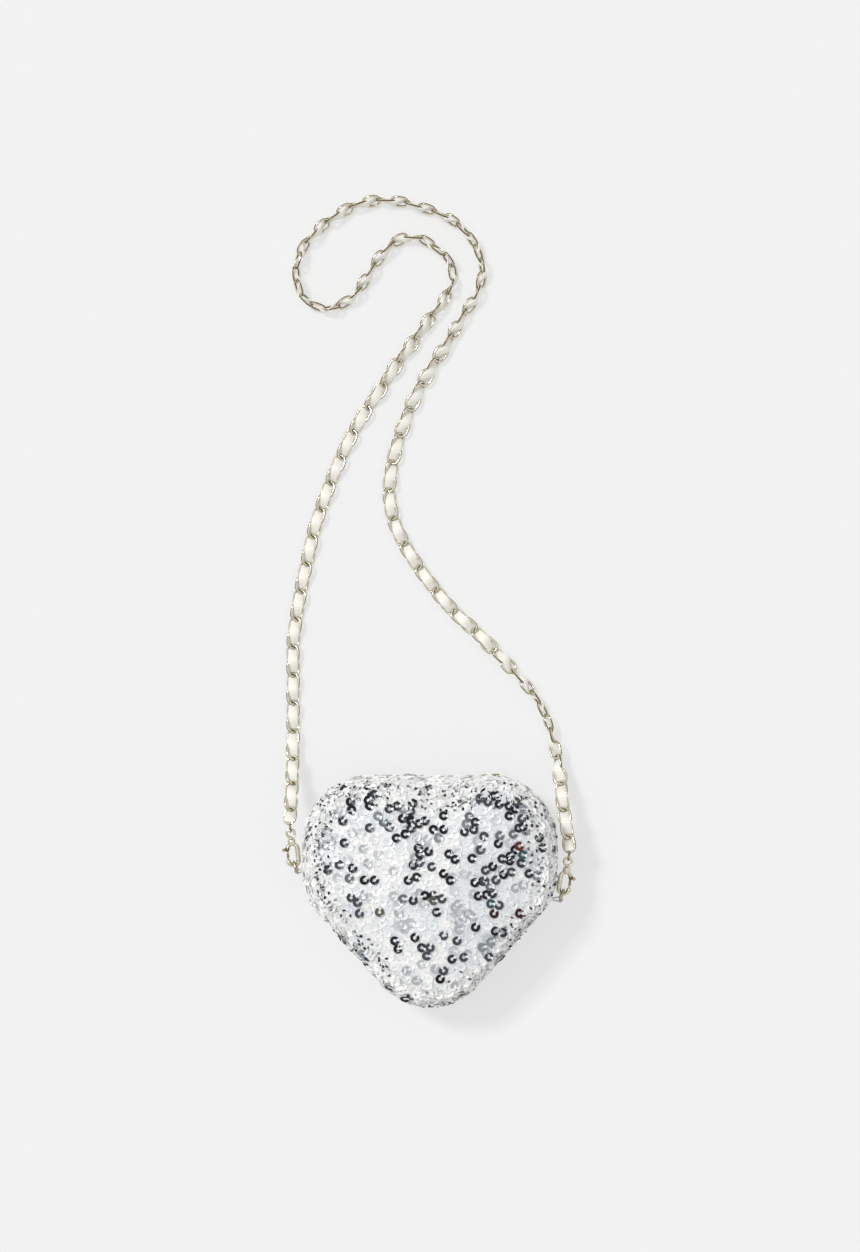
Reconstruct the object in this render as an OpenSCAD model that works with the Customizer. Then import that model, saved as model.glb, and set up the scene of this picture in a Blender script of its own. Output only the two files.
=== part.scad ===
// Heart shaped evening purse, lying on its back, with its chain strap laid out above it.
// The origin is the middle of the flat resting face: +X right, +Y to the top, +Z to the front.

/* [Purse body] */
// Width at the widest point
body_w = 155; // [142:1:172]
// Height from the rounded tip to the flat top
body_h = 140; // [130:1:152]
// Thickness from the resting face to the crown of the front
body_t = 56; // [50:1:66]
// Radius of each upper lobe
lobe_r = 41; // [36:1:46]
// Radius of each side where the purse is widest
hip_r = 38; // [34:1:42]
// Height of the widest point above the tip
hip_up = 82; // [76:1:90]
// Radius of the tip
tip_r = 40; // [30:1:44]
// How far the gusset bulges out past the seams
bulge = 9; // [5:0.5:12]
// Depth of the dip between the lobes, at the seams
dip = 7; // [3:0.5:10]
// Half of the dip's width
dip_half_w = 42; // [34:1:46]
// Height of the back seam above the resting face
back_lift = 5; // [4:0.5:8]
// Drop from the crown of the front to its seam
front_drop = 7; // [6:0.5:10]

/* [Layers] */
// Thickness of the sequined cloth on the panels
cloth_t = 1.2; // [1:0.1:1.6]
// Thickness of the padded gusset
gusset_t = 2; // [1.6:0.1:2.4]
// Thickness of the foam behind each panel
foam_t = 2.5; // [1.5:0.1:3]
// Thickness of the lining
lining_t = 0.6; // [0.4:0.1:0.8]
// Gap between layers that are sewn together
layer_gap = 0.2; // [0.1:0.05:0.3]
// Gap between pieces that part when the mouth opens
part_gap = 0.3; // [0.2:0.05:0.5]
// Width of the slip pocket
pocket_w = 56; // [44:1:60]
// Height of the slip pocket
pocket_h = 40; // [32:1:42]

/* [Zip] */
// Length of the slot that the zip fills
zip_l = 92; // [80:1:96]
// Half of the slot's width
slot_half = 4.8; // [4.6:0.1:5.4]
// Depth of the tooth centres below the flat top
zip_sunk = 5.6; // [5.2:0.1:6.4]
// Distance from one tooth to the next on one side
tooth_pitch = 2; // [1.8:0.1:2.4]
// Width of a tooth along the zip
tooth_w = 0.75; // [0.6:0.05:0.8]
// Thickness of a tooth
tooth_t = 1.8; // [1.4:0.1:2]
// Thickness of the zip's tape
tape_t = 0.8; // [0.5:0.1:1]
// Length of the slider
slider_l = 9; // [8:0.5:10]
// Width of the slider
slider_w = 8; // [7:0.2:8.6]
// Thickness of each plate of the slider
slider_plate_t = 1; // [0.8:0.1:1.1]
// Length of the pull tab
pull_l = 18; // [14:1:20]
// Width of the pull tab
pull_w = 5; // [4:0.2:6]

/* [Strap ends] */
// Height of the left strap loop above the tip
loop_up_left = 82; // [79:0.5:84]
// Height of the right strap loop above the tip
loop_up_right = 65; // [63:0.5:67]
// Radius of the wire of the D-rings
dring_wire_r = 0.9; // [0.7:0.1:1]
// Distance between the middles of a D-ring's two legs
dring_w = 8; // [7:0.5:9]
// Distance from a D-ring's bar to the middle of its bow
dring_reach = 6; // [5.5:0.1:6.5]
// Lean of both D-rings away from the purse
dring_lean = 20; // [16:1:24]
// Lean of the left hook away from the purse
hook_lean_left = 6; // [4:1:9]
// Lean of the right hook away from the purse
hook_lean_right = 9; // [7:1:12]
// Width of a snap hook
hook_w = 8; // [7.6:0.2:9]
// Length of a snap hook's claw
claw_l = 15; // [14:0.5:17]
// Width of the bar of the claw
claw_bar = 1.9; // [1.6:0.1:2.1]
// Thickness of the claw
hook_t = 3; // [2.6:0.1:3.4]
// Radius of the gate's pin
pin_r = 0.5; // [0.4:0.05:0.6]

/* [Strap] */
// Width of the chain with its leather ribbon
strap_w = 9; // [7:0.2:9.4]
// Thickness of the chain with its leather ribbon
strap_t = 5; // [4:0.2:6]

/* [Hidden] */
$fn = 48;

// Levels of the body, in its own frame
half_h = body_h / 2;
back_seam = back_lift;
front_seam = body_t - front_drop;
mid_z = (back_seam + front_seam) / 2;
gusset_half = (front_seam - back_seam) / 2;
overrun = body_t;

// Centres of the rounds that make the heart's outline, measured up from the tip
lobe_c = [body_w / 2 - lobe_r, body_h - lobe_r];
hip_c = [body_w / 2 - hip_r, hip_up];
tip_c = [0, tip_r];

// Number of straight or curved steps on each stretch of half the outline
top_steps = 5;
lobe_steps = 7;
hip_steps = 4;
side_steps = 4;
tip_steps = 4;

// The direction of the line that touches two rounds on their right
function touch_angle(c1, r1, c2, r2) =
    let (d = c1 - c2) atan2(d[1], d[0]) - acos((r2 - r1) / norm(d));
lobe_hip_a = touch_angle(lobe_c, lobe_r, hip_c, hip_r);
hip_tip_a = touch_angle(hip_c, hip_r, tip_c, tip_r);

function on_round(c, r, a) = c + r * [cos(a), sin(a)];
function arc(c, r, a0, a1, n) = [for (i = [0:n - 1]) on_round(c, r, a0 + (a1 - a0) * i / n)];
function run(p, q, n) = [for (i = [0:n - 1]) p + (q - p) * i / n];

// The right half of the outline, drawn in by a distance, from the top's middle to the tip
function half_outline(inset) =
    let (rl = lobe_r - inset, rh = hip_r - inset, rt = tip_r - inset)
    concat(
        run([0, body_h - inset], on_round(lobe_c, rl, 90), top_steps),
        arc(lobe_c, rl, 90, lobe_hip_a, lobe_steps),
        run(on_round(lobe_c, rl, lobe_hip_a), on_round(hip_c, rh, lobe_hip_a), 1),
        arc(hip_c, rh, lobe_hip_a, hip_tip_a, hip_steps),
        run(on_round(hip_c, rh, hip_tip_a), on_round(tip_c, rt, hip_tip_a), side_steps),
        arc(tip_c, rt, hip_tip_a, -90, tip_steps),
        [on_round(tip_c, rt, -90)]);

// The dip between the lobes, as a drop of the outline near its top middle
function dip_at(p) =
    p[1] > half_h && abs(p[0]) < dip_half_w ? dip * (1 + cos(180 * p[0] / dip_half_w)) / 2 : 0;

// The whole outline: inset from the widest line, and the share of the dip that it takes
function outline(inset, dip_share) =
    let (half = half_outline(inset), last = len(half) - 1,
        whole = concat(half, [for (i = [last - 1:-1:1]) [-half[i][0], half[i][1]]]))
    [for (p = whole) [p[0], p[1] - dip_share * dip_at(p) - half_h]];
count = len(outline(0, 0));

// Faces of a stack of rings of equal length, each joined to the next
function wall_faces(rings, closed) =
    [for (k = [0:rings - (closed ? 1 : 2)], i = [0:count - 1])
        let (a = k * count + i, b = k * count + (i + 1) % count,
            c = ((k + 1) % rings) * count + i, d = ((k + 1) % rings) * count + (i + 1) % count)
        each [[a, c, b], [b, c, d]]];

// The gusset: a band round the purse, bulged between its two seams, as rings up its outside
// and down its inside. Levels go from -1 at the back seam to 1 at the front seam.
level_shares = [-1, -0.92, -0.75, -0.42, 0, 0.42, 0.75, 0.92, 1];
function bulge_in(u) = bulge * (1 - sqrt(max(0, 1 - u * u)));
function gusset_ring(u, depth) =
    [for (p = outline(bulge_in(u) + depth, u * u)) [p[0], p[1], mid_z + gusset_half * u]];
module gusset_band(depth, thick, reach_share) {
    levels = [for (u = level_shares) u * reach_share];
    last = len(levels) - 1;
    rings = concat([for (u = levels) gusset_ring(u, depth)],
        [for (k = [last:-1:0]) gusset_ring(levels[k], depth + thick)]);
    polyhedron([for (r = rings) each r], wall_faces(len(rings), true), convexity = 8);
}

// A heart shaped sheet that follows a crown or a dish. Rings are shares of the seam outline.
ring_shares = [0.3, 0.55, 0.75, 0.88, 1];
crown_h = front_drop - part_gap - cloth_t;
crown_power_share = 2.4;
flat_share = 0.72;
dish_rise = back_seam - part_gap - cloth_t;
function crown_z(f) =
    front_seam + part_gap + cloth_t + crown_h * (1 - pow(f, crown_power_share));
function dish_z(f) = dish_rise * pow(max(0, f - flat_share) / (1 - flat_share), 2);
function sheet_ring(f, z) = [for (p = outline(bulge, 1)) [p[0] * f, p[1] * f, z]];
module heart_sheet(reach_share, front, top_drop, thick) {
    shares = [for (f = ring_shares) f * reach_share];
    function level(f) = (front ? crown_z(f) : dish_z(f)) - top_drop;
    last = len(shares) - 1;
    rings = concat([for (f = shares) sheet_ring(f, level(f))],
        [for (k = [last:-1:0]) sheet_ring(shares[k], level(shares[k]) - thick)]);
    n = len(rings);
    points = concat([for (r = rings) each r],
        [[0, 0, level(0)], [0, 0, level(0) - thick]]);
    top_fan = [for (i = [0:count - 1]) [n * count, i, (i + 1) % count]];
    base = (n - 1) * count;
    low_fan = [for (i = [0:count - 1]) [n * count + 1, base + (i + 1) % count, base + i]];
    polyhedron(points, concat(wall_faces(n, false), top_fan, low_fan), convexity = 4);
}

// Layers behind the front panel, as drops from its outer face
front_foam_drop = cloth_t + layer_gap;
front_lining_drop = front_foam_drop + foam_t + layer_gap;
foam_reach_share = 0.94;
lining_reach_share = 0.96;

// Layers on the back panel, as heights of their upper faces above its outer face
back_foam_top = cloth_t + layer_gap + foam_t;
back_lining_top = back_foam_top + layer_gap + lining_t;
pocket_top = back_lining_top + layer_gap + lining_t;
pocket_drop = 2;

module front_panel() { color("gainsboro") heart_sheet(1, true, 0, cloth_t); }
module front_foam() { color("khaki") heart_sheet(foam_reach_share, true, front_foam_drop, foam_t); }
module front_lining() {
    color("ivory") heart_sheet(lining_reach_share, true, front_lining_drop, lining_t);
}
module back_panel() { color("gainsboro") heart_sheet(1, false, -cloth_t, cloth_t); }
module back_foam() { color("khaki") heart_sheet(foam_reach_share, false, -back_foam_top, foam_t); }
module back_lining() {
    color("ivory") heart_sheet(lining_reach_share, false, -back_lining_top, lining_t);
}
module slip_pocket() {
    color("ivory") translate([-pocket_w / 2, -pocket_h / 2 - pocket_drop, pocket_top - lining_t])
        cube([pocket_w, pocket_h, lining_t]);
}

// The mouth: where the top strips end, and where the slot between them lies
mouth_half = zip_l / 2 + 2 * part_gap;
strip_half = mouth_half + slot_half / 2;
fold_t = 1.6;
teeth_y = half_h - zip_sunk;
tape_y = teeth_y - tape_t / 2;
lining_depth = gusset_t + part_gap;
lining_band_share = 0.86;

// The region above the purse's waist that lies within a distance of the middle
module top_region(half_w, z0, z1) {
    translate([-half_w, 0, z0]) cube([2 * half_w, body_h, z1 - z0]);
}
// What the lower gusset leaves free: the two top strips, and the slot between them
module mouth_cut() {
    top_region(strip_half + part_gap, mid_z + slot_half - part_gap, mid_z + overrun);
    top_region(strip_half + part_gap, mid_z - overrun, mid_z - slot_half + part_gap);
    top_region(mouth_half, mid_z - slot_half, mid_z + slot_half);
}

// A top strip is swept along X. Its profile runs out along the bulge to the seam, back along the
// inside, and down the folded edge to the zip's tape.
strip_steps = 16;
function top_y(x, inset) =
    lobe_c[1] - half_h + sqrt(pow(lobe_r - inset, 2) - pow(max(0, abs(x) - lobe_c[0]), 2));
function strip_y(x, u, depth) =
    top_y(x, bulge_in(u) + depth) - u * u * dip_at([x, body_h]);
function strip_profile(x, side) =
    let (slot_u = slot_half / gusset_half, fold_u = (slot_half + fold_t) / gusset_half,
        upper = [for (u = level_shares) if (u > 0) u], n = len(upper),
        fold_y = tape_y + tape_t,
        outer = [for (u = concat([slot_u], upper)) [strip_y(x, u, 0), u * gusset_half]],
        inner = [for (k = [n - 1:-1:0]) [strip_y(x, upper[k], gusset_t), upper[k] * gusset_half]],
        fold = [[strip_y(x, fold_u, gusset_t), slot_half + fold_t], [fold_y, slot_half + fold_t],
            [fold_y, slot_half]])
    [for (p = concat(outer, inner, fold)) [x, p[0], mid_z + side * p[1]]];
module top_strip(side) {
    sections = [for (i = [0:strip_steps])
        strip_profile(strip_half * (2 * i / strip_steps - 1), side)];
    m = len(sections[0]);
    last = strip_steps * m;
    walls = [for (k = [0:strip_steps - 1], j = [0:m - 1])
        let (a = k * m + j, b = k * m + (j + 1) % m, c = a + m, d = b + m) each [[a, b, c], [b, d, c]]];
    // the end faces pair the outside with the inside, and the folded edge has two triangles
    inner_end = m - 3;
    caps = [for (j = [0:m / 2 - 3])
        let (o = j, o2 = j + 1, i1 = inner_end - j, i2 = inner_end - j - 1)
        each [[o, i1, o2], [o2, i1, i2], [last + o, last + o2, last + i1], [last + o2, last + i2, last + i1]]];
    fold_caps = [for (k = [inner_end, inner_end + 1]) each [[0, k + 1, k], [last, last + k, last + k + 1]]];
    faces = concat(walls, caps, fold_caps);
    polyhedron([for (r = sections) each r],
        side > 0 ? faces : [for (f = faces) [f[0], f[2], f[1]]], convexity = 8);
}
module lower_gusset() {
    color("gainsboro") difference() {
        gusset_band(0, gusset_t, 1);
        mouth_cut();
    }
}
module gusset_lining() {
    color("ivory") difference() {
        gusset_band(lining_depth, lining_t, lining_band_share);
        top_region(strip_half + part_gap, -overrun, body_t + overrun);
    }
}
module top_gusset_front() { color("gainsboro") top_strip(1); }
module top_gusset_back() { color("gainsboro") top_strip(-1); }
// The mouth's lining starts where the tape ends
tape_under = 2.4;
tape_reach = slot_half + fold_t + tape_under;
module mouth_lining(side) {
    z0 = mid_z + (side > 0 ? tape_reach + part_gap : -overrun);
    z1 = mid_z + (side > 0 ? overrun : -tape_reach - part_gap);
    color("ivory") intersection() {
        gusset_band(lining_depth + layer_gap, lining_t, lining_band_share);
        top_region(strip_half, z0, z1);
    }
}
module mouth_lining_front() { mouth_lining(1); }
module mouth_lining_back() { mouth_lining(-1); }

// The zip: teeth in two rows that mesh, each row on the edge of its tape
tooth_head = 0.7;
tooth_tail = 2.3;
stop_l = 1.8;
post_l = 1.5;
slider_x = mouth_half - 2 * part_gap - stop_l - slider_l / 2;
teeth_x0 = -mouth_half + stop_l + part_gap;
teeth_end = slider_x + slider_l / 2 - post_l - part_gap;
teeth_count = floor((teeth_end - tooth_w - teeth_x0) / tooth_pitch + 1 / 2);
module zip_teeth(side) {
    for (i = [0:teeth_count - 1])
        translate([teeth_x0 + tooth_pitch * (i + (side > 0 ? 0 : 1 / 2)), teeth_y - tooth_t / 2,
                mid_z - (side > 0 ? tooth_head : tooth_tail)])
            cube([tooth_w, tooth_t, tooth_head + tooth_tail]);
}
module zip_tape(side) {
    translate([-mouth_half, tape_y, side > 0 ? mid_z + tooth_tail : mid_z - tape_reach])
        cube([2 * mouth_half, tape_t, tape_reach - tooth_tail]);
}
module zip_teeth_front() { color("goldenrod") zip_teeth(1); }
module zip_teeth_back() { color("goldenrod") zip_teeth(-1); }
module zip_tape_front() { color("ivory") zip_tape(1); }
module zip_tape_back() { color("ivory") zip_tape(-1); }

// Stops: one under both rows at the left, and one on each row at the right
stop_x = slider_x + slider_l / 2 + part_gap;
plate_gap = 0.85;
module zip_bottom_stop() {
    color("goldenrod") translate([-mouth_half, tape_y - layer_gap - slider_plate_t, mid_z - tooth_tail])
        cube([stop_l, slider_plate_t, 2 * tooth_tail]);
}
module zip_top_stop(side) {
    color("goldenrod")
        translate([stop_x, teeth_y - tooth_t / 2, side > 0 ? mid_z + part_gap : mid_z - tooth_tail])
        cube([min(stop_l, mouth_half - stop_x), tooth_t, tooth_tail - part_gap]);
}
module zip_top_stop_front() { zip_top_stop(1); }
module zip_top_stop_back() { zip_top_stop(-1); }

// The slider: two plates, the post that joins them past the last teeth, and the pull's bridge
post_w = 1.6;
bridge_wire_r = 0.5;
bridge_leg = 3.4;
bridge_l = 4;
upper_plate_y = teeth_y + tooth_t / 2 + plate_gap;
lower_plate_y = teeth_y - tooth_t / 2 - plate_gap - slider_plate_t;
bridge_y = upper_plate_y + slider_plate_t + bridge_leg;
module slider_plate(y) {
    corner = slider_w / 4;
    translate([slider_x, y, mid_z]) rotate([-90, 0, 0]) linear_extrude(slider_plate_t) {
        square([slider_l - 2 * corner, slider_w], center = true);
        square([slider_l, slider_w - 2 * corner], center = true);
        for (sx = [-1, 1], sz = [-1, 1])
            translate([sx * (slider_l / 2 - corner), sz * (slider_w / 2 - corner)]) circle(corner);
    }
}
module zip_slider() {
    color("goldenrod") union() {
        slider_plate(upper_plate_y);
        slider_plate(lower_plate_y);
        translate([slider_x + slider_l / 2 - post_l, lower_plate_y + slider_plate_t / 2, mid_z - post_w / 2])
            cube([post_l, upper_plate_y - lower_plate_y, post_w]);
        for (end = [-1, 1])
            translate([slider_x + end * bridge_l / 2, upper_plate_y + slider_plate_t / 2, mid_z])
                rotate([-90, 0, 0]) cylinder(r = bridge_wire_r, h = bridge_leg + slider_plate_t / 2);
        translate([slider_x - bridge_l / 2, bridge_y, mid_z]) rotate([0, 90, 0])
            cylinder(r = bridge_wire_r, h = bridge_l);
        for (end = [-1, 1])
            translate([slider_x + end * bridge_l / 2, bridge_y, mid_z]) sphere(bridge_wire_r);
    }
}

// The pull: a tab with a pin across its fork, which turns under the bridge
pull_t = 1;
pull_pin_r = 0.45;
pull_fork = 3;
pull_arm = 1.3;
pull_y = bridge_y - bridge_wire_r - pull_pin_r - part_gap / 2;
module zip_pull() {
    tail = pull_w / 2;
    color("goldenrod") translate([slider_x, pull_y, mid_z]) {
        rotate([-90, 0, 0]) translate([0, 0, -pull_t / 2]) linear_extrude(pull_t) difference() {
            union() {
                translate([-pull_l + tail, -pull_w / 2]) square([pull_l - tail, pull_w]);
                translate([-pull_l + tail, 0]) circle(tail);
            }
            translate([-pull_fork, -pull_w / 2 + pull_arm]) square([2 * pull_fork, pull_w - 2 * pull_arm]);
            translate([-pull_l + tail, 0]) circle(tail / 2);
        }
        translate([0, 0, -pull_w / 2]) cylinder(r = pull_pin_r, h = pull_w);
        for (sz = [-1, 1])
            translate([0, 0, sz * (pull_w - pull_arm) / 2 - pull_arm / 2])
                cylinder(r = pull_t / 2, h = pull_arm);
    }
}

// The strap's ends. Each side has a loop sewn to the gusset, a D-ring in it and a snap hook.
// Places are worked out on the right side with the outline's own rounds, then mirrored.
function side_x(up) = hip_c[0] + sqrt(max(0, pow(hip_r, 2) - pow(up - hip_up, 2)));
loop_t = 1.2;
loop_gap = 0.15;
loop_w = dring_w - 2 * dring_wire_r - 2 * part_gap;
loop_r = dring_wire_r + loop_gap + loop_t;
// The bar stands clear of the widest point near the hook
bar_x_left = side_x(loop_up_left) + loop_r + part_gap + dring_wire_r / 2;
bar_x_right = side_x(hip_up) + loop_r - dring_wire_r;
function bar_place(side) =
    side < 0 ? [bar_x_left, loop_up_left - half_h] : [bar_x_right, loop_up_right - half_h];
function bar_root(side) =
    side_x(min(hip_up, (side < 0 ? loop_up_left : loop_up_right) + loop_t)) + part_gap;
module on_side(side) { mirror([side < 0 ? 1 : 0, 0, 0]) children(); }

module strap_loop(side) {
    p = bar_place(side);
    color("silver") on_side(side) translate([0, 0, mid_z - loop_w / 2]) linear_extrude(loop_w)
        difference() {
            union() {
                translate(p) circle(loop_r);
                translate([bar_root(side), p[1] - loop_t]) square([p[0] - bar_root(side), 2 * loop_t]);
            }
            translate(p) circle(dring_wire_r + loop_gap);
        }
}
module strap_loop_left() { strap_loop(-1); }
module strap_loop_right() { strap_loop(1); }

module rod(length, r) { translate([0, 0, -length / 2]) cylinder(r = r, h = length); }
module d_ring(side) {
    leg = dring_reach - dring_w / 2;
    color("gold") on_side(side) translate([bar_place(side)[0], bar_place(side)[1], mid_z])
        rotate([0, 0, -dring_lean]) rotate([0, -90, 0]) union() {
            rotate([0, 90, 0]) rotate([0, 0, 90]) rod(dring_w, dring_wire_r);
            for (s = [-1, 1]) translate([s * dring_w / 2, 0, 0]) {
                sphere(dring_wire_r);
                rotate([-90, 0, 0]) cylinder(r = dring_wire_r, h = leg);
            }
            translate([0, leg, 0]) rotate_extrude(angle = 180)
                translate([dring_w / 2, 0]) circle(dring_wire_r);
        }
}
module d_ring_left() { d_ring(-1); }
module d_ring_right() { d_ring(1); }

// A hook's own frame: its tip at the origin, its length along +Y, its gate on +X
bow_gap = 0.5;
seat_up = claw_bar + bow_gap + dring_wire_r;
function seat(side) = bar_place(side) + dring_reach * [sin(dring_lean), cos(dring_lean)];
module hook_frame(side) {
    lean = side < 0 ? hook_lean_left : hook_lean_right;
    on_side(side) translate([seat(side)[0], seat(side)[1], mid_z]) rotate([0, 0, -lean])
        translate([0, -seat_up, 0]) children();
}
module slot_shape(w, y0, y1) {
    translate([0, y0 + w / 2]) circle(w / 2);
    translate([0, y1 - w / 2]) circle(w / 2);
    translate([-w / 2, y0 + w / 2]) square([w, y1 - y0 - w]);
}
module slab(t) { translate([0, 0, -t / 2]) linear_extrude(t) children(); }

hole_w = hook_w - 2 * claw_bar;
bar_x = (hook_w - claw_bar) / 2;
nose_up = 5.2;
hinge_up = claw_l - 3.6;
gate_t = 1;
gate_slot = 1.9;
hub_r = 1.2;
side_gap = 0.15;
stem_r = 2.2;
stem_l = 3;
stem_up = claw_l - claw_bar / 2;
bore_r = 0.95;
post_r = 0.85;
post_in = 2;
module hook_body() {
    color("gold") difference() {
        union() {
            slab(hook_t) difference() {
                slot_shape(hook_w, 0, claw_l);
                slot_shape(hole_w, claw_bar, claw_l - claw_bar);
            }
            translate([0, stem_up, 0]) rotate([-90, 0, 0]) cylinder(r = stem_r, h = stem_l);
        }
        // the throat, closed by the gate
        translate([hole_w / 2 - claw_bar / 2, nose_up, -hook_t])
            cube([hook_w, hinge_up - hub_r - nose_up, 2 * hook_t]);
        // the slot that the gate's hub turns in
        translate([bar_x - hub_r - side_gap, hinge_up - hub_r - claw_bar, -gate_slot / 2])
            cube([hook_w, 2 * hub_r + claw_bar + side_gap, gate_slot]);
        translate([bar_x, hinge_up, -hook_t]) cylinder(r = pin_r, h = 2 * hook_t);
        translate([0, stem_up + stem_l - post_in - side_gap, 0]) rotate([-90, 0, 0])
            cylinder(r = bore_r, h = hook_t);
    }
}
module hook_left() { hook_frame(-1) hook_body(); }
module hook_right() { hook_frame(1) hook_body(); }

// The gate: a bar with a hub on the pin and a thumb knob outside
knob_r = 1.1;
gate_w = 1.5;
gate_low = nose_up + side_gap;
pin_gap = 0.05;
spring_t = 0.5;
gate_z = -gate_slot / 2 + side_gap;
module gate_body() {
    color("gold") translate([0, 0, gate_z]) difference() {
        union() {
            linear_extrude(gate_t) {
                translate([bar_x, hinge_up]) circle(hub_r);
                translate([bar_x - gate_w / 2, gate_low + gate_w / 2])
                    square([gate_w, hinge_up - gate_low - gate_w / 2]);
                translate([bar_x, gate_low + gate_w / 2]) circle(gate_w / 2);
                translate([bar_x, hinge_up - hub_r]) square([hook_w / 2 + knob_r - bar_x, hub_r]);
                translate([hook_w / 2 + knob_r, hinge_up - hub_r / 2]) circle(knob_r);
            }
        }
        translate([bar_x, hinge_up, -gate_t]) cylinder(r = pin_r + pin_gap, h = 3 * gate_t);
    }
}
module hook_gate_left() { hook_frame(-1) gate_body(); }
module hook_gate_right() { hook_frame(1) gate_body(); }

module pin_body() {
    color("gold") translate([bar_x, hinge_up, 0]) rod(hook_t, pin_r - pin_gap / 5);
}
module gate_pin_left() { hook_frame(-1) pin_body(); }
module gate_pin_right() { hook_frame(1) pin_body(); }

// The spring: a flat coil on the pin beside the gate, with a leg held against the claw
spring_r = 0.95;
module spring_body() {
    color("silver") translate([bar_x, hinge_up, gate_z + gate_t + side_gap / 2]) difference() {
        linear_extrude(spring_t) {
            circle(spring_r);
            translate([-spring_r / 2, 0]) square([spring_r, hub_r]);
        }
        translate([0, 0, -spring_t]) cylinder(r = pin_r + pin_gap, h = 3 * spring_t);
    }
}
module gate_spring_left() { hook_frame(-1) spring_body(); }
module gate_spring_right() { hook_frame(1) spring_body(); }

// The swivel: a post that turns in the stem, and the eye above it
eye_r = 3;
eye_hole_r = 1.9;
eye_t = 1.6;
eye_gap = 0.5;
collar_r = 1.4;
eye_up = stem_up + stem_l + eye_r + eye_gap;
module swivel_body() {
    color("gold") difference() {
        union() {
            translate([0, stem_up + stem_l - post_in, 0]) rotate([-90, 0, 0])
                cylinder(r = post_r, h = post_in + eye_r / 2);
            translate([0, stem_up + stem_l + side_gap, 0]) rotate([-90, 0, 0])
                cylinder(r = collar_r, h = eye_r / 3);
            translate([0, eye_up, 0]) slab(eye_t) circle(eye_r);
        }
        translate([0, eye_up, -eye_t]) cylinder(r = eye_hole_r, h = 2 * eye_t);
    }
}
module hook_swivel_left() { hook_frame(-1) swivel_body(); }
module hook_swivel_right() { hook_frame(1) swivel_body(); }

// The ring that joins the swivel's eye to the strap
end_wire_r = 0.65;
end_ring_r = 2.4;
end_ring_up = eye_up + eye_hole_r - 2 * side_gap - end_wire_r + end_ring_r;
strap_from = end_ring_up + end_ring_r + end_wire_r + part_gap;
module end_ring_body() {
    color("gold") translate([0, end_ring_up, 0]) rotate([0, 90, 0]) rotate_extrude()
        translate([end_ring_r, 0]) circle(end_wire_r);
}
module end_ring_left() { hook_frame(-1) end_ring_body(); }
module end_ring_right() { hook_frame(1) end_ring_body(); }

// The route of the strap: x, y, height above its lying place, and how far it is turned on edge
route = [
    [-84.5, 51, 21, 0], [-84, 62, 16, 0], [-84, 74, 8, 0], [-84, 88, 2, 0], [-84, 102, 0, 0],
    [-84, 118, 0, 0], [-84, 134, 0, 0], [-84, 150, 0, 0], [-82, 166, 0, 0], [-79, 184, 0, 0],
    [-75, 202, 0, 0], [-71, 220, 0, 0], [-65, 238, 0, 0], [-58, 256, 0, 0], [-50, 274, 0, 0],
    [-41, 290, 0, 0.1], [-31, 305, 0, 0.3], [-21, 320, 0, 0.5], [-10, 335, 0, 0.7], [0, 349, 0, 0.8],
    [9, 361, 0, 0.9], [14, 373, 0, 1], [12, 384, 0, 1], [4, 392, 0, 1], [-6, 398, 0, 1],
    [-17, 398, 0, 1], [-28, 390, 0, 1], [-37, 377, 0, 1], [-45, 365, 0, 1], [-56, 357, 0, 1],
    [-68, 356, 0, 1], [-78, 363, 0, 1], [-82, 375, 0, 1], [-80, 388, 0, 1], [-73, 399, 0, 1],
    [-62, 409, 0, 1], [-49, 417, 0, 1], [-36, 421, 0, 1], [-20, 421, 0, 1], [-4, 417, 0, 1],
    [11, 411, 0, 1], [23, 401, 0, 1], [30, 389, 0, 1], [32, 376, 0, 1], [28, 363, 0, 0.9],
    [20, 350, 0, 0.7], [12, 336, 0, 0.5], [3, 322, 0, 0.3], [-6, 307, 0, 0.1], [-13, 292, 0, 0],
    [-19, 276, 0, 0], [-23, 260, 0, 0], [-25, 244, 0, 0], [-23, 228, 0, 0], [-17, 213, 0, 0],
    [-8, 198, 0, 0], [3, 183, 0, 0], [15, 169, 0, 0], [28, 157, 0, 0.1], [41, 144, 0, 0.4],
    [53, 131, 0, 0.8], [64, 118, 0, 1], [71.5, 104, 0, 0.8], [75.5, 90, 1, 0.6], [78.5, 76, 5, 0.3],
    [80, 62, 12, 0], [81, 50, 18, 0], [83, 38, 22, 0]];

// The strap's ends meet the end rings: a point on a hook's own axis, seen in the whole frame
function hook_point(side, up) =
    let (lean = side < 0 ? hook_lean_left : hook_lean_right,
        p = seat(side) + (up - seat_up) * [sin(lean), cos(lean)])
    [side * p[0], p[1]];
function strap_end(side) = let (p = hook_point(side, strap_from)) [p[0], p[1], mid_z - strap_t / 2, 0];
strap_path = concat([strap_end(-1)], route, [strap_end(1)]);
function mix(a, b, t) = a + (b - a) * t;
function half_w(p) = mix(strap_w, strap_t, p[3]) / 2;
function half_t(p) = mix(strap_t, strap_w, p[3]) / 2;
corner_share = 0.414;
section_shares = [[1, corner_share], [corner_share, 1], [-corner_share, 1], [-1, corner_share],
    [-1, -corner_share], [-corner_share, -1], [corner_share, -1], [1, -corner_share]];
function strap_ring(i) =
    let (n = len(strap_path), p = strap_path[i], q = strap_path[min(i + 1, n - 1)],
        o = strap_path[max(i - 1, 0)], along = [q[0] - o[0], q[1] - o[1]] / norm([q[0] - o[0], q[1] - o[1]]),
        across = [along[1], -along[0]])
    [for (s = section_shares) [p[0] + across[0] * s[0] * half_w(p), p[1] + across[1] * s[0] * half_w(p),
        p[2] + half_t(p) * (1 + s[1])]];
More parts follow.
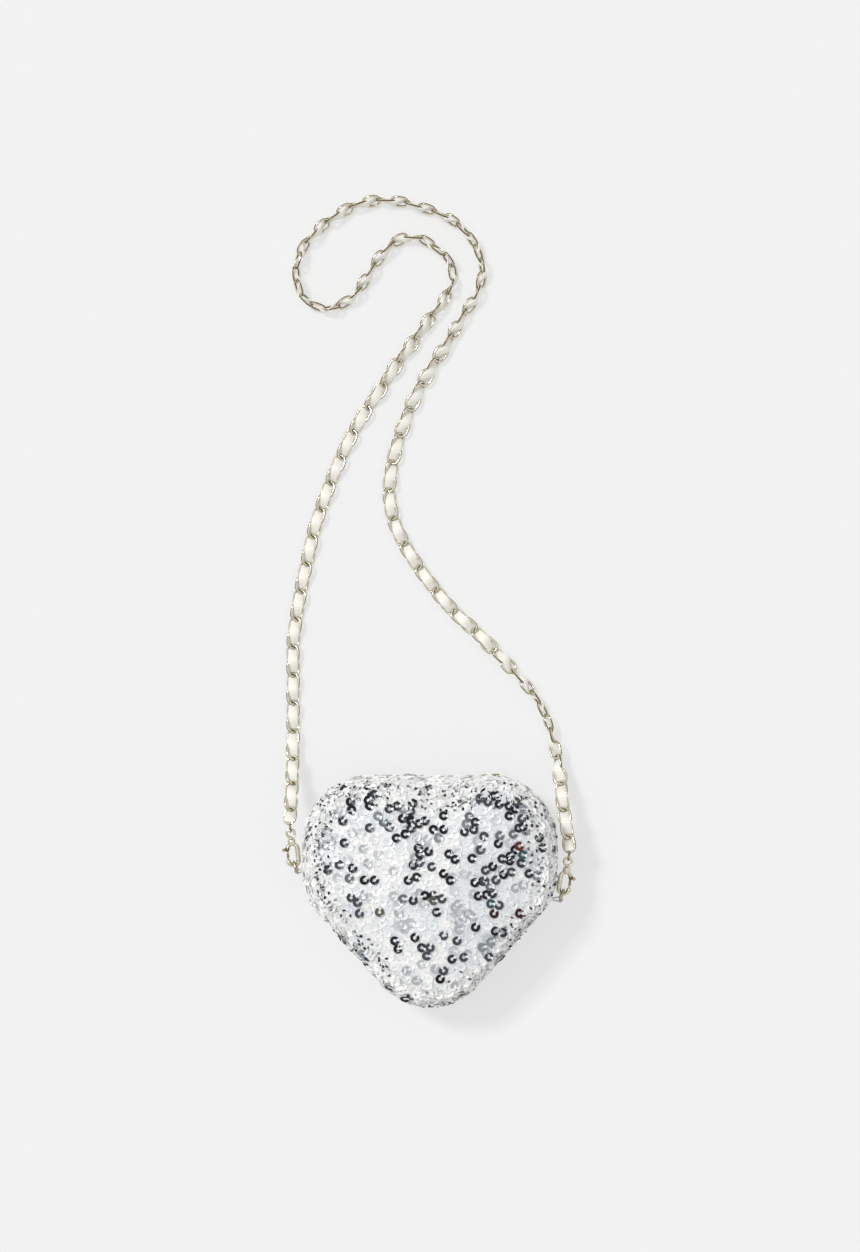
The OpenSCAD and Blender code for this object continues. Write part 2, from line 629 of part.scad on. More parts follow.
module chain_strap() {
    n = len(strap_path);
    m = len(section_shares);
    points = [for (i = [0:n - 1]) each strap_ring(i)];
    walls = [for (k = [0:n - 2], j = [0:m - 1])
        let (a = k * m + j, b = k * m + (j + 1) % m, c = a + m, d = b + m) each [[a, c, b], [b, c, d]]];
    first = [for (j = [1:m - 2]) [0, j, j + 1]];
    final = [for (j = [1:m - 2]) [(n - 1) * m, (n - 1) * m + j + 1, (n - 1) * m + j]];
    color("wheat") polyhedron(points, concat(walls, first, final), convexity = 10);
}

back_panel();
back_foam();
back_lining();
slip_pocket();
lower_gusset();
gusset_lining();
top_gusset_back();
mouth_lining_back();
zip_tape_back();
zip_teeth_back();
zip_bottom_stop();
zip_top_stop_back();
front_panel();
front_foam();
front_lining();
top_gusset_front();
mouth_lining_front();
zip_tape_front();
zip_teeth_front();
zip_top_stop_front();
zip_slider();
zip_pull();
strap_loop_left();
strap_loop_right();
d_ring_left();
d_ring_right();
hook_left();
hook_right();
hook_swivel_left();
hook_swivel_right();
gate_pin_left();
gate_pin_right();
gate_spring_left();
gate_spring_right();
hook_gate_left();
hook_gate_right();
end_ring_left();
end_ring_right();
chain_strap();
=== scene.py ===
# %% [markdown]
# A small heart shaped evening purse lies on its back, and a long chain strap is laid out above it.
# The construction comes from the packed model, so every piece here is made in that same frame,
# with +Z towards the camera. This first cell loads that frame. Sizes below are written in
# millimetres and turned into Blender's metres by one scale value.

# %% Load the frame
import math
import random

import bmesh
import bpy
import numpy as np
from mathutils import Matrix, Vector, noise


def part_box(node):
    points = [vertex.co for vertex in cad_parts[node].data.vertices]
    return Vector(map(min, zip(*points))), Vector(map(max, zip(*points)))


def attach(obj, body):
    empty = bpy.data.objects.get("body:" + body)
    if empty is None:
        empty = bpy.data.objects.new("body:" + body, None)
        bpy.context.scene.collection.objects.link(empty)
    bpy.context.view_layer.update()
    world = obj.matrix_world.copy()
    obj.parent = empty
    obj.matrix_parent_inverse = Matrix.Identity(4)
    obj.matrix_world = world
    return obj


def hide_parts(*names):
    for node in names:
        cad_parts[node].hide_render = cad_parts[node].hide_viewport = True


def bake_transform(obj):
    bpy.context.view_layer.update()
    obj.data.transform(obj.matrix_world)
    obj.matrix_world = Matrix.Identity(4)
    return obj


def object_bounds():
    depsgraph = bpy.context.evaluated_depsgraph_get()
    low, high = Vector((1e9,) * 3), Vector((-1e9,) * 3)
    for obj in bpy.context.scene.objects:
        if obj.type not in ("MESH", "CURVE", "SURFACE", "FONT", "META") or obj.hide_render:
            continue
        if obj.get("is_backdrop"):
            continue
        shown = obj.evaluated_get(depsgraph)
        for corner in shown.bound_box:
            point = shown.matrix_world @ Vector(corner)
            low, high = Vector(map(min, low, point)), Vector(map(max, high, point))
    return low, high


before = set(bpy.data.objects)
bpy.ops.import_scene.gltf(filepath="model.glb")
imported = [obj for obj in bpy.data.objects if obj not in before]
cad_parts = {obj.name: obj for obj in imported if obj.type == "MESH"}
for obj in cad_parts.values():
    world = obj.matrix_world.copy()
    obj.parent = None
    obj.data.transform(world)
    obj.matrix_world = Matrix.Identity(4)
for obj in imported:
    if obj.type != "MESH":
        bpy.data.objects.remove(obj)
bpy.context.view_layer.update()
MM = 0.001
scene = bpy.context.scene
scene.view_settings.view_transform = "Standard"
X, Z = Vector((1, 0, 0)), Vector((0, 0, 1))

# %% [markdown]
# The camera looks straight down. It is set before anything else, because the strap has to fit its
# view. Its lens is worked out from the stretch of floor that the picture takes in, which is the
# same sum as for a real camera on a copy stand.

# %% Camera
VIEW_CENTRE = Vector((0, 160.5, 0)) * MM
CAMERA_UP = 1800 * MM
VIEW_TALL = 770 * MM
SENSOR = 36

camera_data = bpy.data.cameras.new("camera")
camera_data.sensor_fit = "VERTICAL"
camera_data.sensor_height = SENSOR
camera_data.lens = SENSOR * CAMERA_UP / VIEW_TALL
camera = bpy.data.objects.new("camera", camera_data)
camera.location = VIEW_CENTRE + Z * CAMERA_UP
scene.collection.objects.link(camera)
scene.camera = camera
print("lens", round(camera_data.lens, 1), "mm")

# %% [markdown]
# The strap's route is a list of points given along the chain: x, y, the height of its underside,
# and its roll in degrees. Lying flat the roll is 0, and on its edge it is 90. The chain makes half a
# turn on its way round the loop, so it comes back down with its other face up. It starts and ends at
# the two small rings on the snap hooks.

# %% Route of the strap
STRAP_W = 9 * MM
STRAP_T = 5 * MM
RING_GAP = 0.3 * MM
LEAN = {"left": math.radians(6), "right": math.radians(9)}
SIDE = {"left": -1, "right": 1}
ROUTE = [
    (-84.5, 51, 21, 0), (-84, 62, 16, 0), (-84, 74, 8, 0), (-84, 88, 2, 0), (-84, 102, 0, 0),
    (-84, 118, 0, 0), (-84, 134, 0, 0), (-84, 150, 0, 0), (-82, 166, 0, 0), (-79, 184, 0, 0),
    (-75, 202, 0, 0), (-71, 220, 0, 0), (-65, 238, 0, 0), (-58, 256, 0, 5), (-50, 274, 0, 8),
    (-41, 290, 0, 12), (-31, 305, 0, 20), (-21, 320, 0, 30), (-10, 335, 0, 42), (0, 349, 0, 52),
    (9, 361, 0, 62), (14, 373, 0, 75), (12, 384, 0, 85), (4, 392, 0, 92), (-6, 398, 0, 100),
    (-17, 398, 0, 112), (-28, 390, 0, 115), (-37, 377, 0, 115), (-45, 365, 0, 110), (-56, 357, 0, 100),
    (-68, 356, 0, 90), (-78, 363, 0, 90), (-82, 375, 0, 90), (-80, 388, 0, 85), (-73, 399, 0, 70),
    (-62, 409, 0, 65), (-49, 417, 0, 65), (-36, 421, 0, 68), (-20, 421, 0, 75), (-4, 417, 0, 78),
    (11, 411, 0, 80), (23, 401, 0, 88), (30, 389, 0, 95), (32, 376, 0, 102), (28, 363, 0, 112),
    (20, 350, 0, 122), (12, 336, 0, 132), (3, 322, 0, 142), (-6, 307, 0, 150), (-13, 292, 0, 158),
    (-19, 276, 0, 165), (-23, 260, 0, 172), (-25, 244, 0, 178), (-23, 228, 0, 180), (-17, 213, 0, 180),
    (-8, 198, 0, 180), (3, 183, 0, 180), (15, 169, 0, 178), (28, 157, 0, 170), (41, 144, 0, 152),
    (53, 131, 0, 125), (64, 118, 0, 104), (71.5, 104, 0, 88), (75.5, 90, 1, 70), (78.5, 76, 5, 42),
    (80, 62, 12, 14), (81, 50, 18, 0), (83, 38, 22, 0)]
print("route points", len(ROUTE))

# %% [markdown]
# The chain lies in one smooth curve through those points, which a spline gives. Its fine points are
# set at even steps, so a place on the strap can be told by its distance from the start.

# %% Line of the strap
LINE_STEP, CUTS = 0.5 * MM, 24


def middle(node):
    """The middle of a packed node's box."""
    low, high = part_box(node)
    return (low + high) / 2


def hook_axis(side):
    """The way that a hook points, from its tip to its ring."""
    return Vector((SIDE[side] * math.sin(LEAN[side]), math.cos(LEAN[side]), 0))


def strap_end(side):
    """Where the strap meets the ring of a hook: just past the ring, on the hook's own line."""
    low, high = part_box(f"end_ring_{side}")
    reach = (high.z - low.z) / 2
    return middle(f"end_ring_{side}") + hook_axis(side) * (reach + RING_GAP)


def key_point(x, y, under, roll):
    """A point of the chain's middle. It lies half its thickness up, which grows on edge."""
    on_edge = abs(math.sin(math.radians(roll)))
    lift = (STRAP_T + (STRAP_W - STRAP_T) * on_edge) / 2
    return x * MM, y * MM, under * MM + lift, math.radians(roll)


def catmull(a, b, c, d, t):
    """A point of a smooth curve through four others, a share t of the way from b to c."""
    return 0.5 * (2 * b + (c - a) * t + (2 * a - 5 * b + 4 * c - d) * t * t
                  + (3 * b - a - 3 * c + d) * t ** 3)


def fine_route():
    """Points at even steps along a spline through the route, with their rolls in radians."""
    keys = [key_point(*point) for point in ROUTE]
    keys = np.array([(*strap_end("left"), 0), *keys, (*strap_end("right"), 0)])
    keys = np.vstack([2 * keys[0] - keys[1], keys, 2 * keys[-1] - keys[-2]])
    dense = [catmull(*keys[i:i + 4], t / CUTS) for i in range(len(keys) - 3) for t in range(CUTS)]
    dense = np.array(dense + [keys[-2]])
    along = np.concatenate([[0], np.cumsum(np.linalg.norm(np.diff(dense[:, :3], axis=0), axis=1))])
    places = np.linspace(0, along[-1], int(along[-1] / LINE_STEP) + 1)
    return np.column_stack([np.interp(places, along, dense[:, k]) for k in range(4)]), float(along[-1])


strap_line, strap_long = fine_route()
print("strap", round(strap_long, 3), "m in", len(strap_line), "points")

# %% [markdown]
# Links and ribbon both need to know which way the chain faces at each place. Three directions do
# that: along the chain, across it, and out of its face. Roll turns the last two about the first.

# %% Directions along the strap
NEAR = 4


def strap_frame(place):
    """Where the chain is at a distance along it: its point, and the directions along, across, out."""
    last = len(strap_line) - 1
    spot = min(max(place / strap_long * last, 0), last)
    low = min(int(spot), last - 1)
    here = strap_line[low] + (strap_line[low + 1] - strap_line[low]) * (spot - low)
    before, after = strap_line[max(low - NEAR, 0)], strap_line[min(low + NEAR + 1, last)]
    along = Vector(after[:3] - before[:3]).normalized()
    side = along.cross(Z).normalized()
    up = side.cross(along)
    across = side * math.cos(here[3]) - up * math.sin(here[3])
    out = up * math.cos(here[3]) + side * math.sin(here[3])
    return Vector(here[:3]), along, across, out


print("halfway round the strap faces", [round(v, 2) for v in strap_frame(strap_long / 2)[3]])

# %% [markdown]
# Shader maths is easier to read as a sum than as a chain of nodes. One class wraps a node's output,
# so that Python's own operators on it add Math nodes. A second one holds a node tree, and its one
# method adds any other node: its kind, its settings, then what goes into its sockets.

# %% Values and node trees
def operator(operation, turned=False):
    """The method behind one of Python's operators, or behind its reflected form."""
    if turned:
        return lambda self, other: self.math(operation, other, self)
    return lambda self, other: self.math(operation, self, other)


class Value:
    """A node's output, on which Python's operators add Math nodes."""
    __add__, __radd__ = operator("ADD"), operator("ADD", turned=True)
    __sub__, __rsub__ = operator("SUBTRACT"), operator("SUBTRACT", turned=True)
    __mul__, __rmul__ = operator("MULTIPLY"), operator("MULTIPLY", turned=True)
    __truediv__, __rtruediv__ = operator("DIVIDE"), operator("DIVIDE", turned=True)
    __pow__, __rpow__ = operator("POWER"), operator("POWER", turned=True)

    def __init__(self, tree, socket):
        self.tree, self.socket = tree, socket

    def math(self, operation, *values):
        return self.tree.node("Math", {"operation": operation}, dict(enumerate(values)))

    def limited(self):
        return self.tree.node("Clamp", {}, {"Value": self})

    def above(self, edge, contrast):
        """A mask that is 0 below an edge, and climbs to 1 above it."""
        return ((self - edge) * contrast).limited()


class Tree:
    """A node tree, and the one way in which nodes are added to it."""

    def __init__(self, owner):
        owner.use_nodes = True
        self.nodes, self.links = owner.node_tree.nodes, owner.node_tree.links

    def plug(self, socket, value):
        if isinstance(value, Value):
            self.links.new(value.socket, socket)
        else:
            socket.default_value = value

    def node(self, kind, settings, sockets, output=0):
        made = self.nodes.new("ShaderNode" + kind)
        for name, value in settings.items():
            if name == "stops":
                set_stops(made.color_ramp.elements, value)
            else:
                setattr(made, name, value)
        for name, value in sockets.items():
            self.plug(made.inputs[name], value)
        return Value(self, made.outputs[output])


def set_stops(elements, stops):
    """Gives a colour ramp its stops, each a place from 0 to 1 and a colour."""
    while len(elements) < len(stops):
        elements.new(1)
    for element, (place, colour) in zip(elements, stops):
        element.position, element.color = place, colour


print("values take", [name for name in vars(Value) if name.startswith("__r")])

# %% [markdown]
# A finish is such a tree with a Principled surface at its end. Its noise, cells and rows are read
# from the place on the object, as so many to the metre, so they keep their real size on each piece.

# %% Finishes
class Finish(Tree):
    """One material: a Principled surface, and the nodes that feed it."""

    def __init__(self, name, **sockets):
        self.material = bpy.data.materials.new(name)
        super().__init__(self.material)
        self.surface = self.nodes["Principled BSDF"]
        for socket, value in sockets.items():
            self.feed(socket.replace("_", " "), value)

    def feed(self, name, value):
        self.plug(self.surface.inputs[name], value)

    def mix(self, mask, first, second):
        return self.node("Mix", {"data_type": "RGBA"}, {0: mask, 6: first, 7: second}, output=2)

    def colour(self, mask, first, second):
        self.feed("Base Color", self.mix(mask, first, second))

    def place(self):
        return self.node("TexCoord", {}, {}, output="Object")

    def shape_uv(self):
        """The two parts of the piece's own UV map."""
        split = self.node("SeparateXYZ", {}, {0: self.node("UVMap", {"uv_map": "shape"}, {})})
        return split, Value(self, split.socket.node.outputs[1])

    def noise(self, per_metre, detail=2):
        return self.node("TexNoise", {}, {"Vector": self.place(), "Scale": per_metre, "Detail": detail})

    def cells(self, per_metre):
        return self.node("TexVoronoi", {}, {"Vector": self.place(), "Scale": per_metre})

    def rows(self, per_metre, direction="X", **sockets):
        settings = {"bands_direction": direction}
        return self.node("TexWave", settings, {"Vector": self.place(), "Scale": per_metre, **sockets})

    def bump(self, height, deep):
        self.feed("Normal", self.node("Bump", {}, {"Height": height, "Distance": deep, "Strength": 1}))


print("patterns", [name for name in ("noise", "cells", "rows") if hasattr(Finish, name)])

# %% [markdown]
# The floor is a plain pale sheet of paper. A studio has a bright ceiling, darker walls and a pale
# far end, and the sky here is a ramp of the same three levels, so that polished metal shows dark
# lines as it does in a photograph. A broad sun from the upper left makes the soft shadow. Sky and
# sun together light the floor at a level of one, so a colour renders about as it is written. The
# camera, and mirrors, see the floor lifted part of the way to its unshaded tone, which leaves the
# shadow pale and clean.

# %% Floor and light
PAPER = 0.865
PAPER_SEEN = 0.888
LIFT = 0.62
SKY_STOPS = [(0, 0.82), (0.12, 0.82), (0.25, 0.57), (0.50, 0.57), (0.68, 0.765), (1, 0.765)]
SUN_LEVEL = 0.335
SUN_FROM = Vector((-0.70, 0.56, 1.15))
SUN_WIDTH = math.radians(11)
FLOOR_HALF = 6000 * MM
FLOOR_GAP = 0.1 * MM


def grey(level):
    """A grey as a colour socket takes it."""
    return level, level, level, 1


def to_mesh(name, bm):
    """Makes a mesh of a bmesh, and frees the bmesh."""
    mesh = bpy.data.meshes.new(name)
    bm.to_mesh(mesh)
    bm.free()
    return mesh


def to_piece(name, mesh, finishes):
    """Makes an object of a mesh. It sits at the origin, with its place in its mesh."""
    for finish in finishes:
        mesh.materials.append(finish.material)
    piece = bpy.data.objects.new(name, mesh)
    scene.collection.objects.link(piece)
    return piece


paper = Finish("floor_paper", Roughness=0.9, Base_Color=grey(PAPER))
rays = [paper.node("LightPath", {}, {}, output=f"Is {kind} Ray")
        for kind in ("Camera", "Glossy", "Transmission")]
seen = paper.node("Emission", {}, {"Color": grey(PAPER_SEEN)})
mask = (rays[0] + rays[1] + rays[2]).limited() * LIFT
lifted = paper.node("MixShader", {}, {0: mask, 1: Value(paper, paper.surface.outputs[0]), 2: seen})
paper.plug(paper.nodes["Material Output"].inputs["Surface"], lifted)

bm = bmesh.new()
bmesh.ops.create_grid(bm, x_segments=1, y_segments=1, size=FLOOR_HALF)
bmesh.ops.translate(bm, verts=bm.verts, vec=-Z * FLOOR_GAP)
to_piece("floor", to_mesh("floor", bm), [paper])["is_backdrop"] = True

scene.world = bpy.data.worlds.new("sky")
sky = Tree(scene.world)
sky_place = sky.node("TexCoord", {}, {}, output="Generated")
sky_up = sky.node("SeparateXYZ", {}, {0: sky_place}, output="Z")
sky_ramp = sky.node("ValToRGB", {"stops": [(up, grey(level)) for up, level in SKY_STOPS]}, {"Fac": sky_up})
sky.plug(sky.nodes["Background"].inputs["Color"], sky_ramp)

sun_data = bpy.data.lights.new("key", "SUN")
sun_data.angle = SUN_WIDTH
sun_data.energy = SUN_LEVEL * math.pi * SUN_FROM.length / SUN_FROM.z
sun = bpy.data.objects.new("key", sun_data)
sun.location = SUN_FROM
sun.rotation_euler = (-SUN_FROM).to_track_quat("-Z", "Y").to_euler()
scene.collection.objects.link(sun)
print("sun", round(sun_data.energy, 2), "W on a square metre")

# %% [markdown]
# Most pieces here are skins laid over a row of rings: cloth panels, wires, ribbon. A grid has the
# right faces already, so each of its rows is laid on a ring, its two edges are merged where the
# ring closes, and its ends are filled. Each piece then hides the packed node that it stands for, and
# is set on the body that it rides on.

# %% Skins
def hand_over(piece, body, stands_for=None):
    """Hides the packed node that a piece stands for, and sets the piece on the body that it rides on."""
    if stands_for:
        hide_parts(stands_for)
    if body:
        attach(piece, body)
    return piece


def smooth_piece(name, bm, finish):
    """Makes an object of a bmesh, shaded smooth."""
    mesh = to_mesh(name, bm)
    mesh.polygons.foreach_set("use_smooth", [True] * len(mesh.polygons))
    return to_piece(name, mesh, [finish])


def steps_between(start, stop, steps):
    """Even steps from one value to another, both included."""
    return [start + (stop - start) * k / steps for k in range(steps + 1)]


def skin(bm, rings, wrap=True, fill=True, metres=(1, 1)):
    """Adds a skin through rings of equal length to a bmesh. Its UV map is as large as metres says."""
    new = bmesh.new()
    new.loops.layers.uv.new("shape")
    columns = len(rings[0])
    step = columns + 1 if wrap else columns
    bmesh.ops.create_grid(new, x_segments=step - 1, y_segments=len(rings) - 1, size=1, calc_uvs=True)
    uv = new.loops.layers.uv.active
    for face in new.faces:
        for loop in face.loops:
            loop[uv].uv = loop[uv].uv.x * metres[0], loop[uv].uv.y * metres[1]
    new.verts.ensure_lookup_table()
    for k, vert in enumerate(new.verts):
        vert.co = rings[k // step][k % step % columns]
    bmesh.ops.remove_doubles(new, verts=new.verts, dist=0.001 * MM)
    if fill:
        bmesh.ops.holes_fill(new, edges=new.edges, sides=0)
    bmesh.ops.recalc_face_normals(new, faces=new.faces)
    part = to_mesh("part", new)
    bm.from_mesh(part)
    bpy.data.meshes.remove(part)


def skin_piece(name, finish, skins, body=None, stands_for=None, metres=(1, 1)):
    """Makes one piece of one skin or more, and hands it over."""
    bm = bmesh.new()
    for rings in skins:
        skin(bm, rings, metres=metres)
    return hand_over(smooth_piece(name, bm, finish), body, stands_for)


print("four even steps", steps_between(0, 1, 4))

# %% [markdown]
# Rods, such as the links' wire and the hooks' bars, are skins too. Their rings stand square to a
# path, and shrink at an open rod's two ends, which rounds them. Most paths are parts of a circle.

# %% Rods and rounds
def wire(path, half_wide, half_tall, up, sides, closed=False, swell=None):
    """Rings of a rod along a path. A rod that isn't closed has rounded ends, and one may swell."""
    rings = []
    angles = [2 * math.pi * k / sides for k in range(sides)]
    last = len(path) - 1

    def ring(point, along, share):
        across = along.cross(up).normalized()
        face = across.cross(along)
        return [point + (across * math.cos(a) * half_wide + face * math.sin(a) * half_tall) * share
                for a in angles]

    for i, point in enumerate(path):
        before = path[i - 1] if closed or i else point
        after = path[(i + 1) % (last + 1)] if closed or i < last else point
        rings.append(ring(point, (after - before).normalized(), swell(point) if swell else 1))
    if closed:
        return rings + rings[:1]
    caps = [math.radians(a) for a in (30, 60, 90)]
    head, tail = (path[1] - path[0]).normalized(), (path[-1] - path[-2]).normalized()
    reach = min(half_wide, half_tall)
    starts = [ring(path[0] - head * reach * math.sin(a), head, math.cos(a)) for a in reversed(caps)]
    stops = [ring(path[-1] + tail * reach * math.sin(a), tail, math.cos(a)) for a in caps]
    return starts + rings + stops


def round_corner(centre, radius, start, stop, steps):
    """Points on an arc in the XY plane, from one angle to another, in degrees."""
    angles = [math.radians(a) for a in steps_between(start, stop, steps)]
    return [Vector((centre[0] + radius * math.cos(a), centre[1] + radius * math.sin(a), 0))
            for a in angles]


print("half a round in four steps has", len(round_corner((0, 0), 1, 0, 180, steps=4)), "points")

# %% [markdown]
# Thousands of sequins and over a hundred links are copies of a few small shapes. A stamp lays one
# template mesh at many places in one go. The copies share the template's UV map, and each has a
# colour of its own, in an attribute that its material can read.

# %% Stamping copies
def stamp(name, shape, places, finishes, tints=None, smooth=False):
    """One object with a copy of the shape at each place, which is a 4 by 4 matrix."""
    points = np.array([(*v.co, 1) for v in shape.vertices])
    spots = np.array([[list(row) for row in place] for place in places])
    copies, many = len(spots), len(points)
    world_points = np.einsum("cij,vj->cvi", spots, points)[:, :, :3].reshape(-1, 3)
    corners = np.array([loop.vertex_index for loop in shape.loops])
    starts = np.array([face.loop_start for face in shape.polygons])
    slots = np.array([face.material_index for face in shape.polygons])
    copy = np.arange(copies)[:, None]
    mesh = bpy.data.meshes.new(name)
    mesh.vertices.add(len(world_points))
    mesh.vertices.foreach_set("co", world_points.astype(np.float32).ravel())
    mesh.loops.add(copies * len(corners))
    mesh.loops.foreach_set("vertex_index", (corners[None] + copy * many).ravel())
    mesh.polygons.add(copies * len(starts))
    mesh.polygons.foreach_set("loop_start", (starts[None] + copy * len(corners)).ravel())
    mesh.polygons.foreach_set("material_index", np.tile(slots, copies))
    mesh.polygons.foreach_set("use_smooth", np.full(copies * len(starts), smooth))
    if shape.uv_layers:
        uv = np.array([list(corner.uv) for corner in shape.uv_layers[0].data]).ravel()
        mesh.uv_layers.new(name="shape").data.foreach_set("uv", np.tile(uv, copies))
    if tints is not None:
        colours = np.repeat(np.array(tints), many, axis=0)
        mesh.attributes.new("tint", "FLOAT_COLOR", "POINT").data.foreach_set("color", colours.ravel())
    mesh.update(calc_edges=True)
    mesh.calc_loop_triangles()
    print(name, copies, "copies,", len(mesh.loop_triangles), "triangles")
    return to_piece(name, mesh, finishes)


def place_at(point, x_way, y_way, z_way):
    """The matrix that lays a template's own axes along three directions, at a point."""
    return Matrix.Translation(point) @ Matrix((x_way, y_way, z_way)).transposed().to_4x4()


print("a place at the origin moves nothing:", place_at(Vector(), X, Z.cross(X), Z) == Matrix())

# %% [markdown]
# The chain and all the strap's fittings are plated in a very pale gold. Polished plate is nearly a
# mirror, so most of its look comes from what it reflects. Fine scratches break the gloss. A
# cloudiness shifts the colour towards a deeper tone: on the rods from cream to straw, and on the rings
# and gates to a dark brown. It is partly random tone, and partly painted reflection: dark patches that
# stand in for dark things the plate mirrors. Bent rods keep bright faces, and their two sides are
# painted dark, a painted reflection of the dark walls that a mirror rod faces there. Their own map
# finds those sides: it runs once round the rod.

# %% Metal finishes
SCRATCHED = 0.12


def polished(name, bright, deep, rough, painted_reflection_flank=None):
    """A polished plate with cloudy patches in its colour, partly painted reflection, and sides painted
    dark on a rod's own map, as painted reflection.
    """
    finish = Finish(name, Metallic=1)
    # Cloudy patches of the deep colour: partly random tone, partly painted reflection of dark things.
    clouds_and_painted_reflection = finish.noise(per_metre=420, detail=3).above(edge=0.35, contrast=2.5)
    colour = finish.mix(clouds_and_painted_reflection, deep, bright)
    if painted_reflection_flank:
        # Painted reflection: the two sides of a rod are painted dark, as a mirror rod looks where it faces
        # dark walls.
        around = finish.shape_uv()[0] * (2 * math.pi)
        side = around.math("COSINE", around) ** 2
        colour = finish.mix(side.above(edge=0.55, contrast=3), colour, painted_reflection_flank)
    finish.feed("Base Color", colour)
    finish.feed("Roughness", rough + finish.noise(per_metre=2500, detail=4) * SCRATCHED)
    return finish


def dress(finish, names):
    """Gives packed nodes their finish."""
    for name in names:
        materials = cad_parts[name].data.materials
        materials.clear()
        materials.append(finish.material)


def both(*kinds):
    """The names of a left and a right piece of each kind."""
    return [f"{kind}_{side}" for kind in kinds for side in SIDE]


gold = polished("pale_gold", (0.82, 0.75, 0.58, 1), (0.24, 0.18, 0.10, 1), rough=0.16)
# The rods' dark side colour is painted reflection.
rod_gold = polished("rod_gold", (0.97, 0.92, 0.78, 1), (0.74, 0.66, 0.48, 1), rough=0.14,
                    painted_reflection_flank=(0.11, 0.08, 0.04, 1))
zip_metal = polished("zip_gold", (0.80, 0.72, 0.54, 1), (0.46, 0.37, 0.23, 1), rough=0.22)
steel = polished("spring_steel", (0.66, 0.66, 0.67, 1), (0.52, 0.52, 0.54, 1), rough=0.25)
dress(gold, both("d_ring", "gate_pin", "hook_gate", "end_ring"))
dress(zip_metal, ["zip_teeth_back", "zip_teeth_front", "zip_bottom_stop", "zip_top_stop_back",
                  "zip_top_stop_front", "zip_slider", "zip_pull"])
dress(steel, both("gate_spring"))
print("metal finishes 4")

# %% [markdown]
# The strap is a flat chain of oval links with a strip of ivory leather woven through it. Links lean
# to one side and the other in turn, as they do in a real curb chain, and each is one template of
# under a hundred faces. The strip rises over one joint between links and dips under the next.

# %% Links of the chain
PITCH = 8.6 * MM
LINK_HALF_L = 5.2 * MM
LINK_HALF_W = 4.5 * MM
WIRE_R = 0.78 * MM
LINK_LEAN = math.radians(24)
LINK_STEPS = 16


def link_path():
    """An oval: two half rounds joined by short straights."""
    straight = LINK_HALF_L - LINK_HALF_W + WIRE_R
    radius = LINK_HALF_W - WIRE_R
    half = LINK_STEPS // 2 - 1
    right = round_corner((straight, 0), radius, -90, 90, half)
    return right + round_corner((-straight, 0), radius, 90, 270, half)


bm = bmesh.new()
skin(bm, wire(link_path(), WIRE_R, WIRE_R, Z, sides=6, closed=True))
link_shape = to_mesh("link", bm)

link_count = int(strap_long / PITCH)
link_pitch = strap_long / link_count
link_places = []
for k in range(link_count):
    point, along, across, out = strap_frame((k + 0.5) * link_pitch)
    lean = Matrix.Rotation(LINK_LEAN * (1 if k % 2 else -1), 3, along)
    link_places.append(place_at(point, along, lean @ across, lean @ out))
chain = stamp("chain_links", link_shape, link_places, [rod_gold], smooth=True)
hand_over(chain, "strap", "chain_strap")

# %% [markdown]
# Ribbon leather is smooth with a very fine grain, and a little worn in patches. The grain is far
# finer than any bend, so it is read from the place on the object. The strip's own map runs in
# metres along and across it, for any pattern that has to follow its length.

# %% Leather ribbon
RIBBON_HALF_W = 3.0 * MM
RIBBON_HALF_T = 0.6 * MM
RIBBON_RISE = 1.75 * MM
RIBBON_STEP = 1 * MM
RIBBON_SIDES = 10
RIBBON_SQUARE = 0.35
LEATHER_ROUGH, WORN_ROUGHER = 0.34, 0.2
GRAIN_SHARE = 0.6

ivory_leather = Finish("ivory_leather", Coat_Weight=0.15)
grain = ivory_leather.cells(per_metre=1900)
worn = ivory_leather.noise(per_metre=120, detail=3)
ivory_leather.colour(worn, (0.91, 0.89, 0.79, 1), (0.95, 0.94, 0.87, 1))
ivory_leather.feed("Roughness", LEATHER_ROUGH + worn * WORN_ROUGHER)
ivory_leather.bump(grain * GRAIN_SHARE + worn * (1 - GRAIN_SHARE), deep=0.1 * MM)


def ribbon_ring(place):
    """A rounded flat section of the strip, over one joint of the chain and under the next."""
    point, along, across, out = strap_frame(place)
    point = point + out * RIBBON_RISE * math.cos(math.pi * place / link_pitch)
    ring = []
    for k in range(RIBBON_SIDES):
        a = 2 * math.pi * (k + 0.5) / RIBBON_SIDES
        wide = math.copysign(abs(math.cos(a)) ** RIBBON_SQUARE, math.cos(a)) * RIBBON_HALF_W
        ring.append(point + across * wide + out * math.sin(a) * RIBBON_HALF_T)
    return ring


ribbon_rings = int(strap_long / RIBBON_STEP)
ribbon = skin_piece("leather_ribbon", ivory_leather,
                    [[ribbon_ring(strap_long * k / ribbon_rings) for k in range(ribbon_rings + 1)]],
                    "strap", metres=(2 * RIBBON_HALF_W, strap_long))
print("ribbon", ribbon_rings, "rings")

# %% [markdown]
# A snap hook has a round claw that goes through the D-ring, a gate that a spring holds shut, and a
# stem in which a small eye turns. The claw is one bent rod, thicker than wide. It is drawn in the
# hook's own plane and then carried to its place, on the line that the packed ring lies on.

